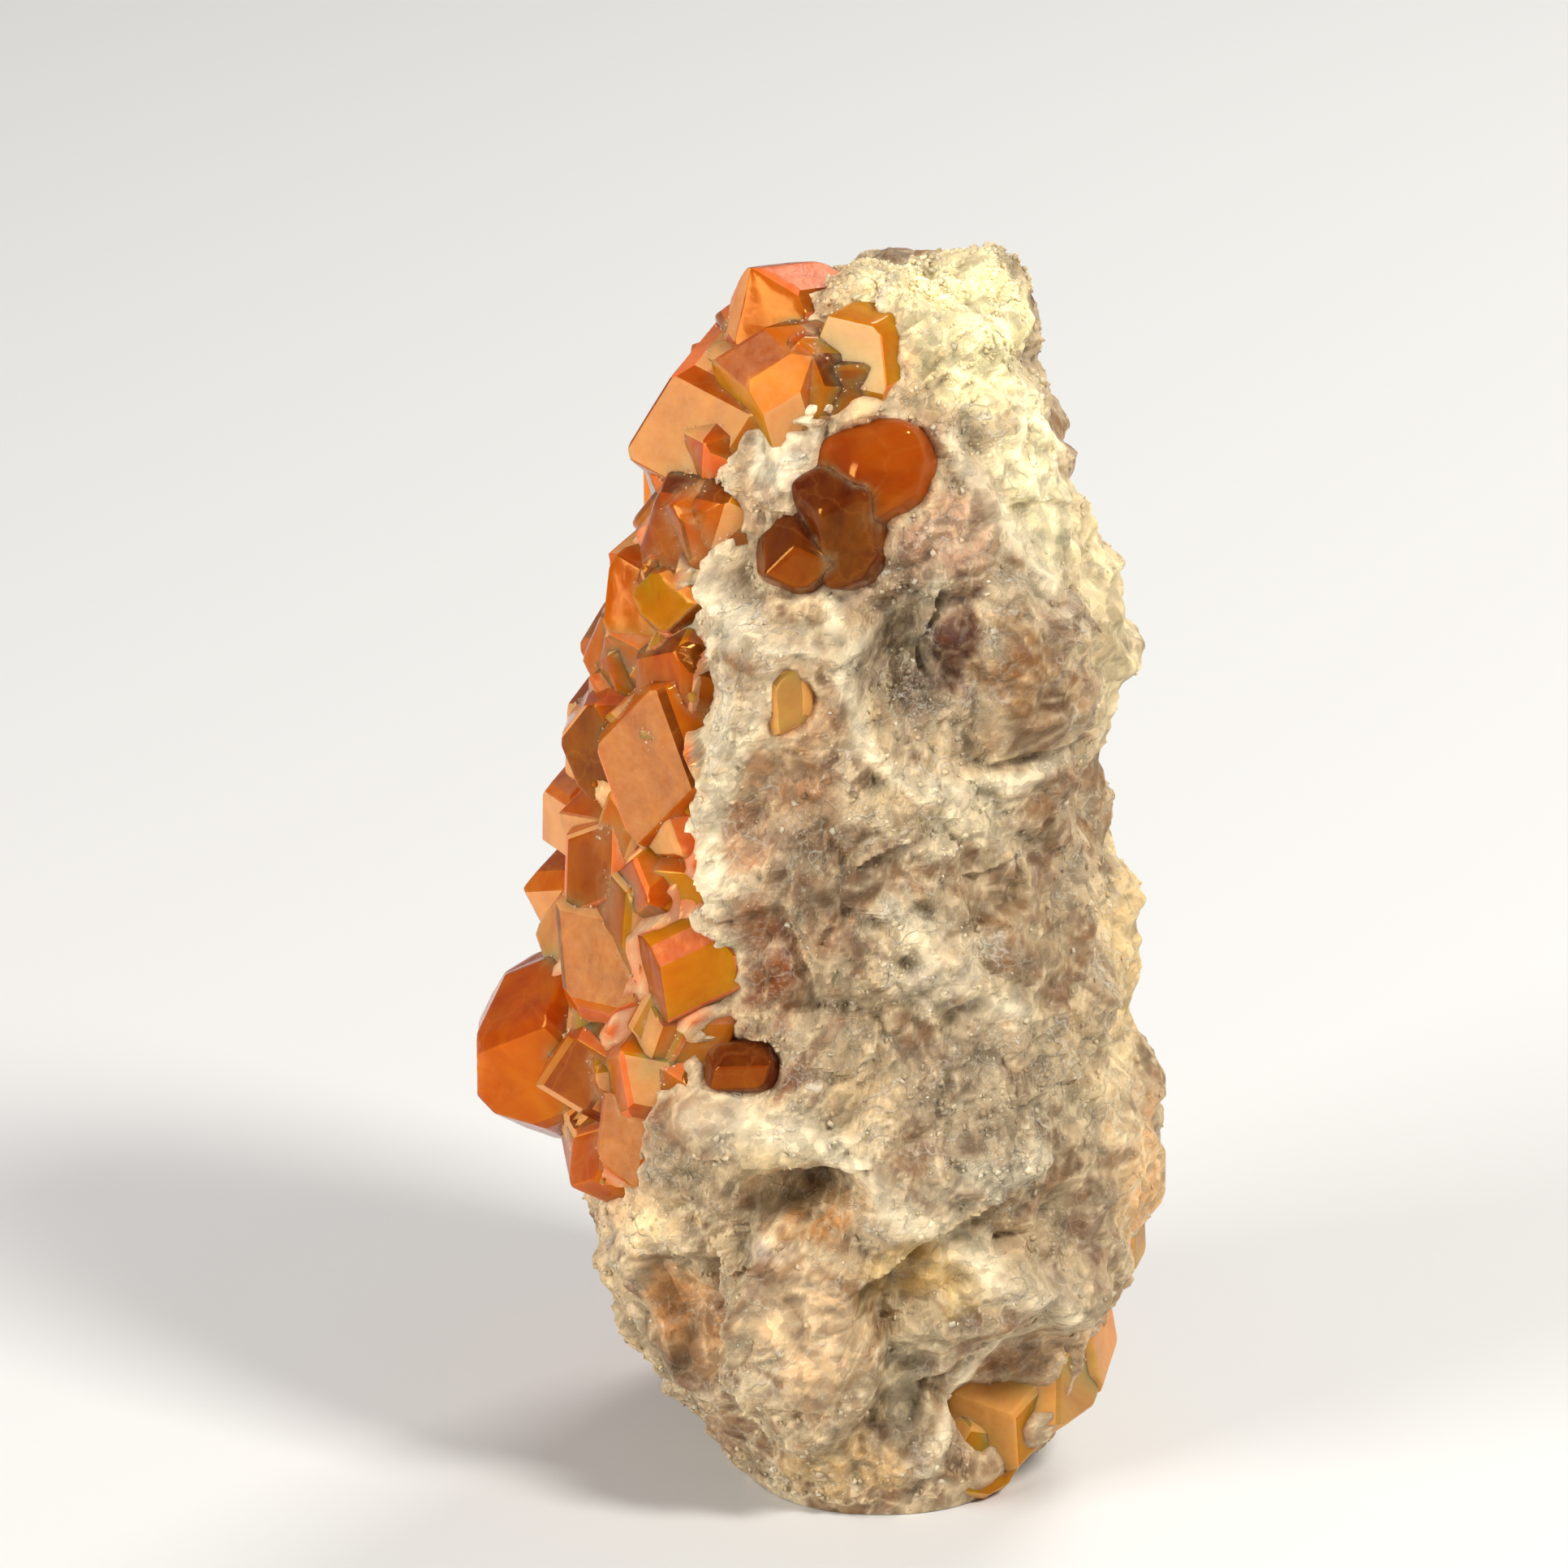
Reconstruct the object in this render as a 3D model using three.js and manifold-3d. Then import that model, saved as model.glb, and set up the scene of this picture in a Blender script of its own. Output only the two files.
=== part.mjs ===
// A spessartine garnet specimen: a rough upright piece of pale rock with intergrown orange garnet crystals
// down its left side, over its back and round to its lower right edge. Millimetres, +Z up, the broad rock face
// looks along -Y, and the origin is under the middle of the specimen.
import Module from 'manifold-3d';
import * as THREE from 'three';
import { ConvexGeometry } from 'three/addons/geometries/ConvexGeometry.js';
import { mergeVertices } from 'three/addons/utils/BufferGeometryUtils.js';

const wasm = await Module();
wasm.setup();

const HEIGHT = 34.5;
const CRYSTAL_GAP = 0.3; // clearance between the crystals and the rock under them
const SOCKET_DEPTH = 1.3; // how far the rock dips under a crystal
const COLUMNS = 42; // facets round the rock
const ROWS = 42; // facets up the rock
const FRONT_SHARE = 0.4; // how much closer the facets lie on the front than on the hidden back
const FACET_JITTER = 0.5; // chance shift of each facet corner, as a share of a facet

// Sections of the rock from the foot to the top: height, left, right, front, back and squareness.
const SECTIONS = [
  [0.0, -2.4, 5.8, -6.9, 4.6, 2.3],
  [1.4, -3.8, 7.0, -7.3, 5.4, 2.4],
  [3.4, -5.2, 7.9, -7.6, 6.0, 2.5],
  [6.2, -6.2, 8.8, -7.9, 6.5, 2.6],
  [9.2, -6.8, 9.1, -8.0, 6.7, 2.6],
  [12.4, -6.9, 8.7, -8.0, 6.6, 2.6],
  [15.6, -6.4, 8.2, -7.8, 6.4, 2.6],
  [18.8, -5.9, 7.6, -7.4, 6.2, 2.6],
  [22.0, -5.5, 7.7, -6.9, 5.8, 2.6],
  [25.0, -4.9, 7.8, -6.4, 5.3, 2.6],
  [27.8, -3.9, 6.8, -5.8, 4.8, 2.5],
  [30.4, -2.9, 6.1, -4.9, 4.1, 2.4],
  [32.4, -1.2, 5.8, -4.0, 3.0, 2.3],
  [33.8, -0.1, 5.4, -3.1, 1.8, 2.2],
  [HEIGHT, 1.2, 4.5, -2.1, 0.7, 2.0],
];

// Rounded swellings (height over 0) and hollows (under 0) of the rock: centre, reach and height.
const LUMPS = [
  { at: [3.9, -3.2, 32.4], reach: [2.6, 2.6, 2.0], height: 0.35 }, // granular cap
  { at: [5.6, -5.4, 23.7], reach: [2.2, 2.4, 2.7], height: 0.75 }, // smooth lens
  { at: [2.2, -6.4, 24.6], reach: [2.0, 2.4, 3.2], height: -1.0 }, // recess beside the lens
  { at: [0.9, -5.2, 28.4], reach: [2.6, 2.4, 2.6], height: -0.6 }, // pocket of the three crystals
  { at: [-0.9, -5.0, 29.9], reach: [1.5, 2.0, 2.2], height: -0.5 }, // white patch above the pocket
  { at: [-1.7, -7.8, 13.4], reach: [2.1, 2.0, 1.2], height: -0.8 }, // hollow of the low single crystal
  { at: [-0.4, -8.0, 9.7], reach: [2.1, 2.2, 1.4], height: -1.2 }, // hollow over the pale block
  { at: [4.9, -6.9, 3.3], reach: [3.0, 2.6, 2.4], height: -0.9 }, // recessed face at the lower right
  { at: [4.4, -7.4, 12.0], reach: [3.6, 2.6, 3.4], height: 0.35 }, // broad swell of the rough face
  { at: [2.2, -7.6, 17.6], reach: [3.0, 2.4, 3.0], height: 0.45 }, // rounded shoulder of the face
  { at: [6.6, -5.6, 17.4], reach: [2.4, 2.4, 2.6], height: -0.35 },
  { at: [8.0, -1.0, 23.3], reach: [1.7, 2.4, 1.3], height: 1.0 }, // nodules down the right edge
  { at: [8.0, -1.0, 16.8], reach: [1.7, 2.2, 1.5], height: 0.75 },
  { at: [8.9, -1.4, 11.4], reach: [1.6, 2.4, 1.5], height: 0.45 },
  { at: [9.2, -0.6, 7.4], reach: [1.5, 2.4, 1.4], height: 0.45 },
  { at: [-4.4, -6.2, 7.6], reach: [2.2, 2.4, 1.8], height: 0.4 }, // knob on the lower left flank
];

// Flat-topped steps of the rock: centre, reach, height and the share of the reach that is level.
const SLABS = [
  { at: [-0.4, -7.6, 5.2], reach: [2.4, 3.0, 3.6], height: 0.9, level: 0.7 }, // pale cleavage block
  { at: [3.4, -7.6, 6.9], reach: [3.0, 3.0, 1.5], height: 0.5, level: 0.6 }, // wedge under the crest
  { at: [5.0, -6.6, 20.6], reach: [2.6, 3.0, 1.2], height: 0.4, level: 0.5 }, // step under the lens
];

// Sharp ridges of the rock: points along the ridge, half width and height.
const RIDGES = [
  { along: [[-3.4, -7.4, 12.2], [-0.2, -8.0, 11.7], [2.2, -7.9, 9.4], [6.7, -7.2, 6.2]], width: 0.9, height: 0.9 },
  { along: [[-3.4, -5.6, 26.2], [-1.1, -6.2, 25.1], [0.7, -6.3, 24.9]], width: 0.6, height: 0.5 },
  { along: [[-1.1, -6.2, 25.1], [-1.9, -6.5, 22.8], [-2.9, -6.6, 20.3]], width: 0.6, height: 0.45 },
  { along: [[6.8, -5.6, 6.0], [4.2, -7.0, 4.8], [2.9, -7.3, 1.5]], width: 0.6, height: 0.5 },
];

// The crust crystals that show from the front. Angle (0 is +X, 90 the back) and height place the middle of the
// main face on the rock, `proud` lifts it, `yaw` and `pitch` turn it off the outward direction, and `turn` spins
// the crystal about that face. Size is the distance from the main face to the crystal's middle.
const CRUST_CRYSTALS = [
  { angle: 205, height: 32.5, proud: 0.7, size: 1.7, yaw: 40, pitch: 25, turn: 20 }, // top left crystal
  { angle: 246, height: 31.3, proud: 0.5, size: 1.2, yaw: 20, pitch: 10, turn: 50 },
  { angle: 256, height: 32.5, proud: 0.3, size: 1.2, yaw: 10, pitch: 30, turn: 75 },
  { angle: 182, height: 31.6, proud: 0.2, size: 1.6, yaw: 20, pitch: 10, turn: 5 },
  { angle: 208, height: 29.9, proud: 0.6, size: 2.2, yaw: 15, pitch: 12, turn: 35 }, // long peach face
  { angle: 186, height: 28.8, proud: 0.3, size: 1.8, yaw: 5, pitch: -5, turn: 70 },
  { angle: 212, height: 27.2, proud: 0.6, size: 1.8, yaw: 5, pitch: 5, turn: 60 },
  { angle: 203, height: 25.2, proud: 0.5, size: 1.5, yaw: 30, pitch: 15, turn: 10 },
  { angle: 183, height: 25.8, proud: 0.2, size: 1.6, yaw: 15, pitch: 5, turn: 30 },
  { angle: 192, height: 22.9, proud: 0.6, size: 1.6, yaw: 20, pitch: 5, turn: 75 },
  { angle: 218, height: 21.5, proud: 0.8, size: 2.2, yaw: 20, pitch: 8, turn: 25 }, // large flat face
  { angle: 196, height: 20.4, proud: 0.8, size: 1.7, yaw: 10, pitch: 8, turn: 85 },
  { angle: 180, height: 21.0, proud: 0.8, size: 1.6, yaw: 0, pitch: 10, turn: 50 },
  { angle: 184, height: 17.9, proud: 1.3, size: 1.6, yaw: 20, pitch: -5, turn: 15 },
  { angle: 210, height: 18.2, proud: 0.7, size: 1.7, yaw: 15, pitch: 10, turn: 40 },
  { angle: 229, height: 18.2, proud: 0.5, size: 1.3, yaw: 10, pitch: 0, turn: 5 },
  { angle: 186, height: 15.4, proud: 0.8, size: 1.6, yaw: 15, pitch: 12, turn: 65 },
  { angle: 210, height: 15.9, proud: 0.8, size: 1.7, yaw: 20, pitch: 20, turn: 5 },
  { angle: 228, height: 14.8, proud: 0.6, size: 1.4, yaw: 15, pitch: 5, turn: 70 },
  { angle: 195, height: 11.6, proud: 1.1, size: 2.15, yaw: 42, pitch: -8, turn: 28 }, // large crystal, lower left
  { angle: 210, height: 12.0, proud: 0.6, size: 1.5, yaw: 20, pitch: 0, turn: 20 },
  { angle: 220, height: 10.9, proud: 0.5, size: 1.3, yaw: 15, pitch: 8, turn: 55 },
  { angle: 226, height: 12.8, proud: 0.4, size: 1.1, yaw: 10, pitch: 0, turn: 15 },
  { angle: 194, height: 9.6, proud: 0.4, size: 1.7, yaw: 0, pitch: -10, turn: 20 },
  { angle: 167, height: 10.6, proud: 0.4, size: 2.1, yaw: 0, pitch: 0, turn: 40 },
];

// The crystals along the lower right edge, apart from the crust.
const EDGE_CRYSTALS = [
  { angle: 290, height: 0.9, proud: 0.25, size: 1.5, yaw: 5, pitch: -10, turn: 35 },
  { angle: 306, height: 1.5, proud: 0.35, size: 1.7, yaw: 0, pitch: 5, turn: 10 },
  { angle: 322, height: 2.3, proud: 0.35, size: 1.7, yaw: 5, pitch: 0, turn: 60 },
  { angle: 340, height: 3.0, proud: 0.3, size: 1.7, yaw: 0, pitch: 10, turn: 30 },
];

// The druse over the back: rows of crystals between a left and a right angle, drawn in near the foot.
const DRUSE = { bottom: 3.4, top: 30.6, rows: 8, left: 172, right: 52, across: 5, size: 2.1, sizeSpread: 0.35 };
const DRUSE_PROUD = 0.65; // how far a main face of the druse stands off the rock

// Three crystals in one pocket, and single crystals set in the rock.
const POCKET_CRYSTALS = [
  { angle: 272, height: 29.7, proud: 0.35, size: 1.4, yaw: 5, pitch: 15, turn: 25 },
  { angle: 261, height: 28.4, proud: 0.3, size: 1.2, yaw: 10, pitch: 0, turn: 60, stretch: [0.85, 1, 1.35] },
  { angle: 252, height: 27.3, proud: 0.3, size: 1.15, yaw: 15, pitch: 0, turn: 10 },
];
const SINGLE_CRYSTALS = {
  inlaid_garnet_upper: {
    angle: 252, height: 23.6, proud: 0.65, size: 0.75, yaw: 20, pitch: 8, turn: 40, stretch: [0.8, 1, 1.4],
  },
  inlaid_garnet_lower: {
    angle: 247, height: 13.3, proud: 0.45, size: 0.7, yaw: 18, pitch: 8, turn: 15, stretch: [1.6, 1, 0.8],
  },
  rim_garnet: { angle: 344, height: 6.4, proud: 0.2, size: 0.9, yaw: -5, pitch: 5, turn: 45 },
};

const material = (color, roughness) => new THREE.MeshStandardMaterial({ color, roughness, metalness: 0 });
const rockMaterial = material(0xd2b995, 0.85);
const crustMaterial = material(0xd96a1c, 0.2);
const pocketMaterial = material(0xb8480c, 0.18);
const singleMaterial = material(0xc07028, 0.3);

// Repeatable chance: a value from 0 to 1 for three whole numbers and a seed.
function chance(x, y, z, seed) {
  const wave = Math.sin(x * 127.1 + y * 311.7 + z * 74.7 + seed * 19.19) * 43758.5453;
  return wave - Math.floor(wave);
}

const smoothStep = (low, high, value) => THREE.MathUtils.smoothstep(value, low, high);

// The section at a share of the way up the list, on a curve through the listed sections.
function sectionAt(share) {
  const place = share * (SECTIONS.length - 1);
  const index = Math.min(Math.floor(place), SECTIONS.length - 2);
  const t = place - index;
  const row = (offset) => SECTIONS[THREE.MathUtils.clamp(index + offset, 0, SECTIONS.length - 1)];
  return row(0).map((_, k) => {
    const [before, from, to, after] = [row(-1)[k], row(0)[k], row(1)[k], row(2)[k]];
    const cubic = 3 * (from - to) + after - before;
    const square = 2 * before - 5 * from + 4 * to - after;
    return from + 0.5 * t * (to - before + t * (square + t * cubic));
  });
}

// A point of the plain rock body: a rounded box section whose four reaches differ.
function bodyPoint(share, angle, radius = 1) {
  const [height, left, right, front, back, squareness] = sectionAt(share);
  const middle = new THREE.Vector3((left + right) / 2, (front + back) / 2, height);
  const across = Math.cos(angle) / ((right - left) / 2);
  const deep = Math.sin(angle) / ((back - front) / 2);
  const reach = (Math.abs(across) ** squareness + Math.abs(deep) ** squareness) ** (-1 / squareness);
  const ring = new THREE.Vector3(Math.cos(angle), Math.sin(angle), 0).multiplyScalar(reach * radius);
  return middle.add(ring);
}

// The outward direction of the body, level on the sides and upright at the top.
function outward(share, angle) {
  const rise = smoothStep(0.82, 1, share) * 1.4;
  return new THREE.Vector3(Math.cos(angle), Math.sin(angle), rise).normalize();
}

// Blocky grain: each cell of space holds a pyramid with flat sides at a chance turn, and the highest one counts.
function grain(point, cellSize, seed) {
  const scaled = point.clone().divideScalar(cellSize);
  const cell = scaled.clone().floor();
  let highest = -Infinity;
  for (let i = 0; i < 27; i += 1) {
    const [x, y, z] = [(i % 3) - 1 + cell.x, (Math.floor(i / 3) % 3) - 1 + cell.y, Math.floor(i / 9) - 1 + cell.z];
    const draw = (k) => chance(x, y, z, seed + k);
    const from = scaled.clone().sub(new THREE.Vector3(x + draw(1), y + draw(2), z + draw(3)));
    const first = new THREE.Vector3(draw(4) - 0.5, draw(5) - 0.5, draw(6) - 0.5).normalize();
    const second = new THREE.Vector3(-first.y, first.x, 0).normalize();
    const third = first.clone().cross(second);
    const distance = Math.max(...[first, second, third].map((axis) => Math.abs(from.dot(axis))));
    highest = Math.max(highest, 0.35 * draw(7) - distance);
  }
  return highest;
}

// A lump's or slab's share of its height at a point: 1 at its middle, 0 outside its reach.
function fallOff({ at, reach, level = 0 }, point) {
  const away = point.clone().sub(new THREE.Vector3(...at)).divide(new THREE.Vector3(...reach)).length();
  return 1 - smoothStep(level, 1, away);
}

// How high a point stands on a ridge: a roof shape along the line through the ridge's points.
function ridgeHeight({ along, width, height }, point) {
  let nearest = Infinity;
  for (let i = 1; i < along.length; i += 1) {
    const line = new THREE.Line3(new THREE.Vector3(...along[i - 1]), new THREE.Vector3(...along[i]));
    const foot = line.closestPointToPoint(point, true, new THREE.Vector3());
    nearest = Math.min(nearest, foot.distanceTo(point));
  }
  return height * Math.max(0, 1 - nearest / (2 * width));
}

// All the relief of the rock at a point of the plain body, in millimetres along the outward direction.
function relief(point) {
  const swell = [...LUMPS, ...SLABS].reduce((sum, lump) => sum + lump.height * fallOff(lump, point), 0);
  const ridge = RIDGES.reduce((sum, line) => sum + ridgeHeight(line, point), 0);
  const grains = 0.9 * (grain(point, 2.9, 11) + 0.22) + 0.5 * (grain(point, 1.7, 37) + 0.22);
  const footFade = smoothStep(0, 2.4, point.z);
  return (swell + ridge + grains - SOCKET_DEPTH * socketShare(point)) * footFade;
}

// How deep in a crystal's socket a point of the rock lies: 1 under its middle, 0 past its rim.
function socketShare(point) {
  return Math.max(...sockets.map(({ middle, size }) => 1 - smoothStep(0.7, 1.2, point.distanceTo(middle) / size)));
}

// Where a facet corner lies: its share of the way up and its angle, each shifted a little by chance, with the
// angles drawn together on the front.
function facetCorner(column, row) {
  const inside = row > 0 && row < ROWS;
  const shift = (k) => (inside ? FACET_JITTER * (chance(column, row, k, 3) - 0.5) : 0);
  const even = ((column + shift(1)) / COLUMNS) * 2 * Math.PI;
  return [(row + shift(2)) / ROWS, even - FRONT_SHARE * Math.cos(even)];
}

// The rock, or with a growth the same shape standing out that much further.
function rockGeometry(growth = 0) {
  const geometry = new THREE.CylinderGeometry(1, 1, 1, COLUMNS, ROWS);
  geometry.deleteAttribute('normal');
  geometry.deleteAttribute('uv');
  const position = geometry.attributes.position;
  for (let i = 0; i < position.count; i += 1) {
    const radius = Math.hypot(position.getX(i), position.getZ(i)) > 0.5 ? 1 : 0;
    const turn = Math.atan2(position.getX(i), position.getZ(i)) / (2 * Math.PI);
    const column = (Math.round(turn * COLUMNS) + COLUMNS) % COLUMNS;
    const row = Math.round((position.getY(i) + 0.5) * ROWS);
    const [share, angle] = facetCorner(column, row);
    const point = bodyPoint(share, angle, radius);
    if (radius === 1) point.addScaledVector(outward(share, angle), relief(point) + growth);
    point.z = Math.min(Math.max(point.z, 0), HEIGHT);
    position.setXYZ(i, point.x, point.y, point.z);
  }
  return mergeVertices(geometry, 1e-3);
}

// The directions of a garnet's faces: the twelve of the rhombic dodecahedron.
function faceDirections() {
  const directions = [];
  for (const sign of [1, -1]) {
    for (const other of [1, -1]) directions.push([sign, other, 0], [sign, 0, other], [0, sign, other]);
  }
  return directions.map((direction) => new THREE.Vector3(...direction).normalize());
}

const FACE_DIRECTIONS = faceDirections();

// Where a crystal lies: the direction of its main face, near the rock's outward one, and its middle.
function crystalLay({ angle, height, proud, size, yaw, pitch }) {
  const radians = THREE.MathUtils.degToRad;
  const share = shareAtHeight(height);
  const look = new THREE.Vector3(Math.cos(radians(angle + yaw)), Math.sin(radians(angle + yaw)), 0);
  look.multiplyScalar(Math.cos(radians(pitch))).setZ(Math.sin(radians(pitch)));
  const face = bodyPoint(share, radians(angle)).addScaledVector(outward(share, radians(angle)), proud);
  return { look, middle: face.addScaledVector(look, -size) };
}

// The planes of one crystal: the main face at its size, and every other face set in or out a little by chance.
function crystalPlanes(crystal, seed) {
  const { size, turn, stretch = [1, 1, 1] } = crystal;
  const { look, middle } = crystalLay(crystal);
  const lay = new THREE.Quaternion().setFromUnitVectors(FACE_DIRECTIONS[0], look);
  const spin = new THREE.Quaternion().setFromAxisAngle(look, THREE.MathUtils.degToRad(turn));
  return FACE_DIRECTIONS.map((direction, k) => {
    const normal = direction.clone().applyQuaternion(lay).applyQuaternion(spin);
    const unevenness = k === 0 ? 1 : 0.88 + 0.22 * chance(k, seed, 3, 5);
    const stretched = normal.clone().multiply(new THREE.Vector3(...stretch)).length();
    return new THREE.Plane(normal, -(size * unevenness * stretched + normal.dot(middle)));
  });
}

// The corners of a body bounded by planes: the points where three planes meet that no other plane cuts off.
function planeCorners(planes) {
  const corners = [];
  const matrix = new THREE.Matrix3();
  for (let i = 0; i < planes.length; i += 1) {
    for (let j = i + 1; j < planes.length; j += 1) {
      for (let k = j + 1; k < planes.length; k += 1) {
        const [a, b, c] = [planes[i], planes[j], planes[k]];
        matrix.set(...a.normal.toArray(), ...b.normal.toArray(), ...c.normal.toArray());
        if (Math.abs(matrix.determinant()) < 1e-3) continue;
        const corner = new THREE.Vector3(-a.constant, -b.constant, -c.constant).applyMatrix3(matrix.invert());
        if (planes.every((plane) => plane.distanceToPoint(corner) < 1e-5)) corners.push(corner);
      }
    }
  }
  return corners;
}

// Solids: a closed geometry becomes a solid for joining and cutting, and a solid becomes a geometry again.
function toSolid(geometry) {
  const plain = geometry.clone();
  plain.deleteAttribute('normal');
  plain.deleteAttribute('uv');
  const merged = mergeVertices(plain, 1e-4);
  const vertProperties = new Float32Array(merged.attributes.position.array);
  const triVerts = new Uint32Array(merged.index.array);
  return new wasm.Manifold(new wasm.Mesh({ numProp: 3, vertProperties, triVerts }));
}

function toGeometry(solid) {
  const mesh = solid.getMesh();
  const geometry = new THREE.BufferGeometry();
  geometry.setAttribute('position', new THREE.Float32BufferAttribute(mesh.vertProperties, 3));
  geometry.setIndex(new THREE.Uint32BufferAttribute(mesh.triVerts, 1));
  return geometry;
}

// The largest body of a solid, so that no crumb is left over from cutting.
const largestBody = (solid) => solid.decompose().sort((a, b) => b.volume() - a.volume())[0];

const crystalSolid = (crystal, seed) => toSolid(new ConvexGeometry(planeCorners(crystalPlanes(crystal, seed))));

// The back's crystals: a grid of places on the body, each set off its grid point, sized and turned by chance.
function druseCrystals() {
  const crystals = [];
  for (let row = 0; row < DRUSE.rows; row += 1) {
    const rowShare = row / (DRUSE.rows - 1);
    const drawnIn = 30 * (1 - smoothStep(0.1, 0.35, rowShare));
    for (let column = 0; column < DRUSE.across; column += 1) {
      const draw = (k) => chance(row, column, k, 7);
      const angleShare = (column + 0.5 * (row % 2) + 0.5 * (draw(2) - 0.5)) / DRUSE.across;
      crystals.push({
        angle: THREE.MathUtils.lerp(DRUSE.right, DRUSE.left - drawnIn, angleShare),
        height: THREE.MathUtils.lerp(DRUSE.bottom, DRUSE.top, rowShare) + 1.6 * (draw(1) - 0.5),
        proud: DRUSE_PROUD,
        size: DRUSE.size + DRUSE.sizeSpread * (2 * draw(3) - 1) - 0.5 * smoothStep(0.8, 1, rowShare),
        yaw: 50 * (draw(4) - 0.5),
        pitch: 50 * (draw(5) - 0.5),
        turn: 90 * draw(6),
      });
    }
  }
  return crystals;
}

// The share of the section list whose height is the given one, by halving.
function shareAtHeight(height) {
  let [low, high] = [0, 1];
  for (let step = 0; step < 30; step += 1) {
    const middle = (low + high) / 2;
    if (sectionAt(middle)[0] < height) low = middle;
    else high = middle;
  }
  return low;
}

// Everything under the ground plane, for trimming the crystals that reach it.
function groundSolid() {
  const geometry = new THREE.BoxGeometry(60, 60, 20);
  geometry.translate(0, 0, -10);
  return toSolid(geometry);
}

const group = new THREE.Group();

function addMesh(name, solid, meshMaterial) {
  const mesh = new THREE.Mesh(toGeometry(largestBody(solid)), meshMaterial);
  mesh.name = name;
  group.add(mesh);
}

const crustList = [...CRUST_CRYSTALS, ...druseCrystals()];
const everyCrystal = [...crustList, ...EDGE_CRYSTALS, ...POCKET_CRYSTALS, ...Object.values(SINGLE_CRYSTALS)];
const sockets = everyCrystal.map((crystal) => ({
  middle: crystalLay(crystal).middle,
  size: crystal.size,
}));

const rock = toSolid(rockGeometry());
const taken = toSolid(rockGeometry(CRYSTAL_GAP)).add(groundSolid());
const grown = (crystals) => crystals.map(crystalSolid).reduce((all, solid) => all.add(solid)).subtract(taken);

addMesh('matrix', rock, rockMaterial);
addMesh('garnet_crust', grown(crustList), crustMaterial);
addMesh('edge_garnets', grown(EDGE_CRYSTALS), crustMaterial);
addMesh('pocket_garnets', grown(POCKET_CRYSTALS), pocketMaterial);
for (const [name, crystal] of Object.entries(SINGLE_CRYSTALS)) addMesh(name, grown([crystal]), singleMaterial);

export default group;
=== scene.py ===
import itertools
import math
import bpy
import numpy as np
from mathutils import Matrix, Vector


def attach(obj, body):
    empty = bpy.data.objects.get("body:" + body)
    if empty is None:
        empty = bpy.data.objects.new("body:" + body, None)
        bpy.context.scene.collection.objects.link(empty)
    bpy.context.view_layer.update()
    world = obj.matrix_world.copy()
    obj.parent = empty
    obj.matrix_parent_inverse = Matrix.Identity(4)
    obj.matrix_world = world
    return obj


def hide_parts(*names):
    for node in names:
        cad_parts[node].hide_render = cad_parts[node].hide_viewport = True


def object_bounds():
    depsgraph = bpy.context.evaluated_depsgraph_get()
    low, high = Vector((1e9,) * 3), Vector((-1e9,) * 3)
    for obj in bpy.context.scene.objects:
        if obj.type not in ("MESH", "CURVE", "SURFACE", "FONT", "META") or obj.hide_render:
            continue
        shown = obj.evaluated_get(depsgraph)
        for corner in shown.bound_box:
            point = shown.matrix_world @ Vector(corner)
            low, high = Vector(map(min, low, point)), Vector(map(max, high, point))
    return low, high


# A garnet specimen: pale rough rock with intergrown orange garnets. All tables are in millimetres, in the
# frame of the CAD model, and become metres when a mesh is made.
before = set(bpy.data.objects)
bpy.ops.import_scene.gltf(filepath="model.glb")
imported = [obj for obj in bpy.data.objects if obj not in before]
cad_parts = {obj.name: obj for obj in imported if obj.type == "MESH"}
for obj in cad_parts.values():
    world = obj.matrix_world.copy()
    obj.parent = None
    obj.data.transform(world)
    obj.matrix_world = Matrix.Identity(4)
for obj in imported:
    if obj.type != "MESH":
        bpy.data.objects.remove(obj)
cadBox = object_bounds()
mm = 0.001
lowCorner, highCorner = (np.array(corner) / mm for corner in cadBox)
print("frame loaded:", ", ".join(sorted(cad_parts)))

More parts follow.
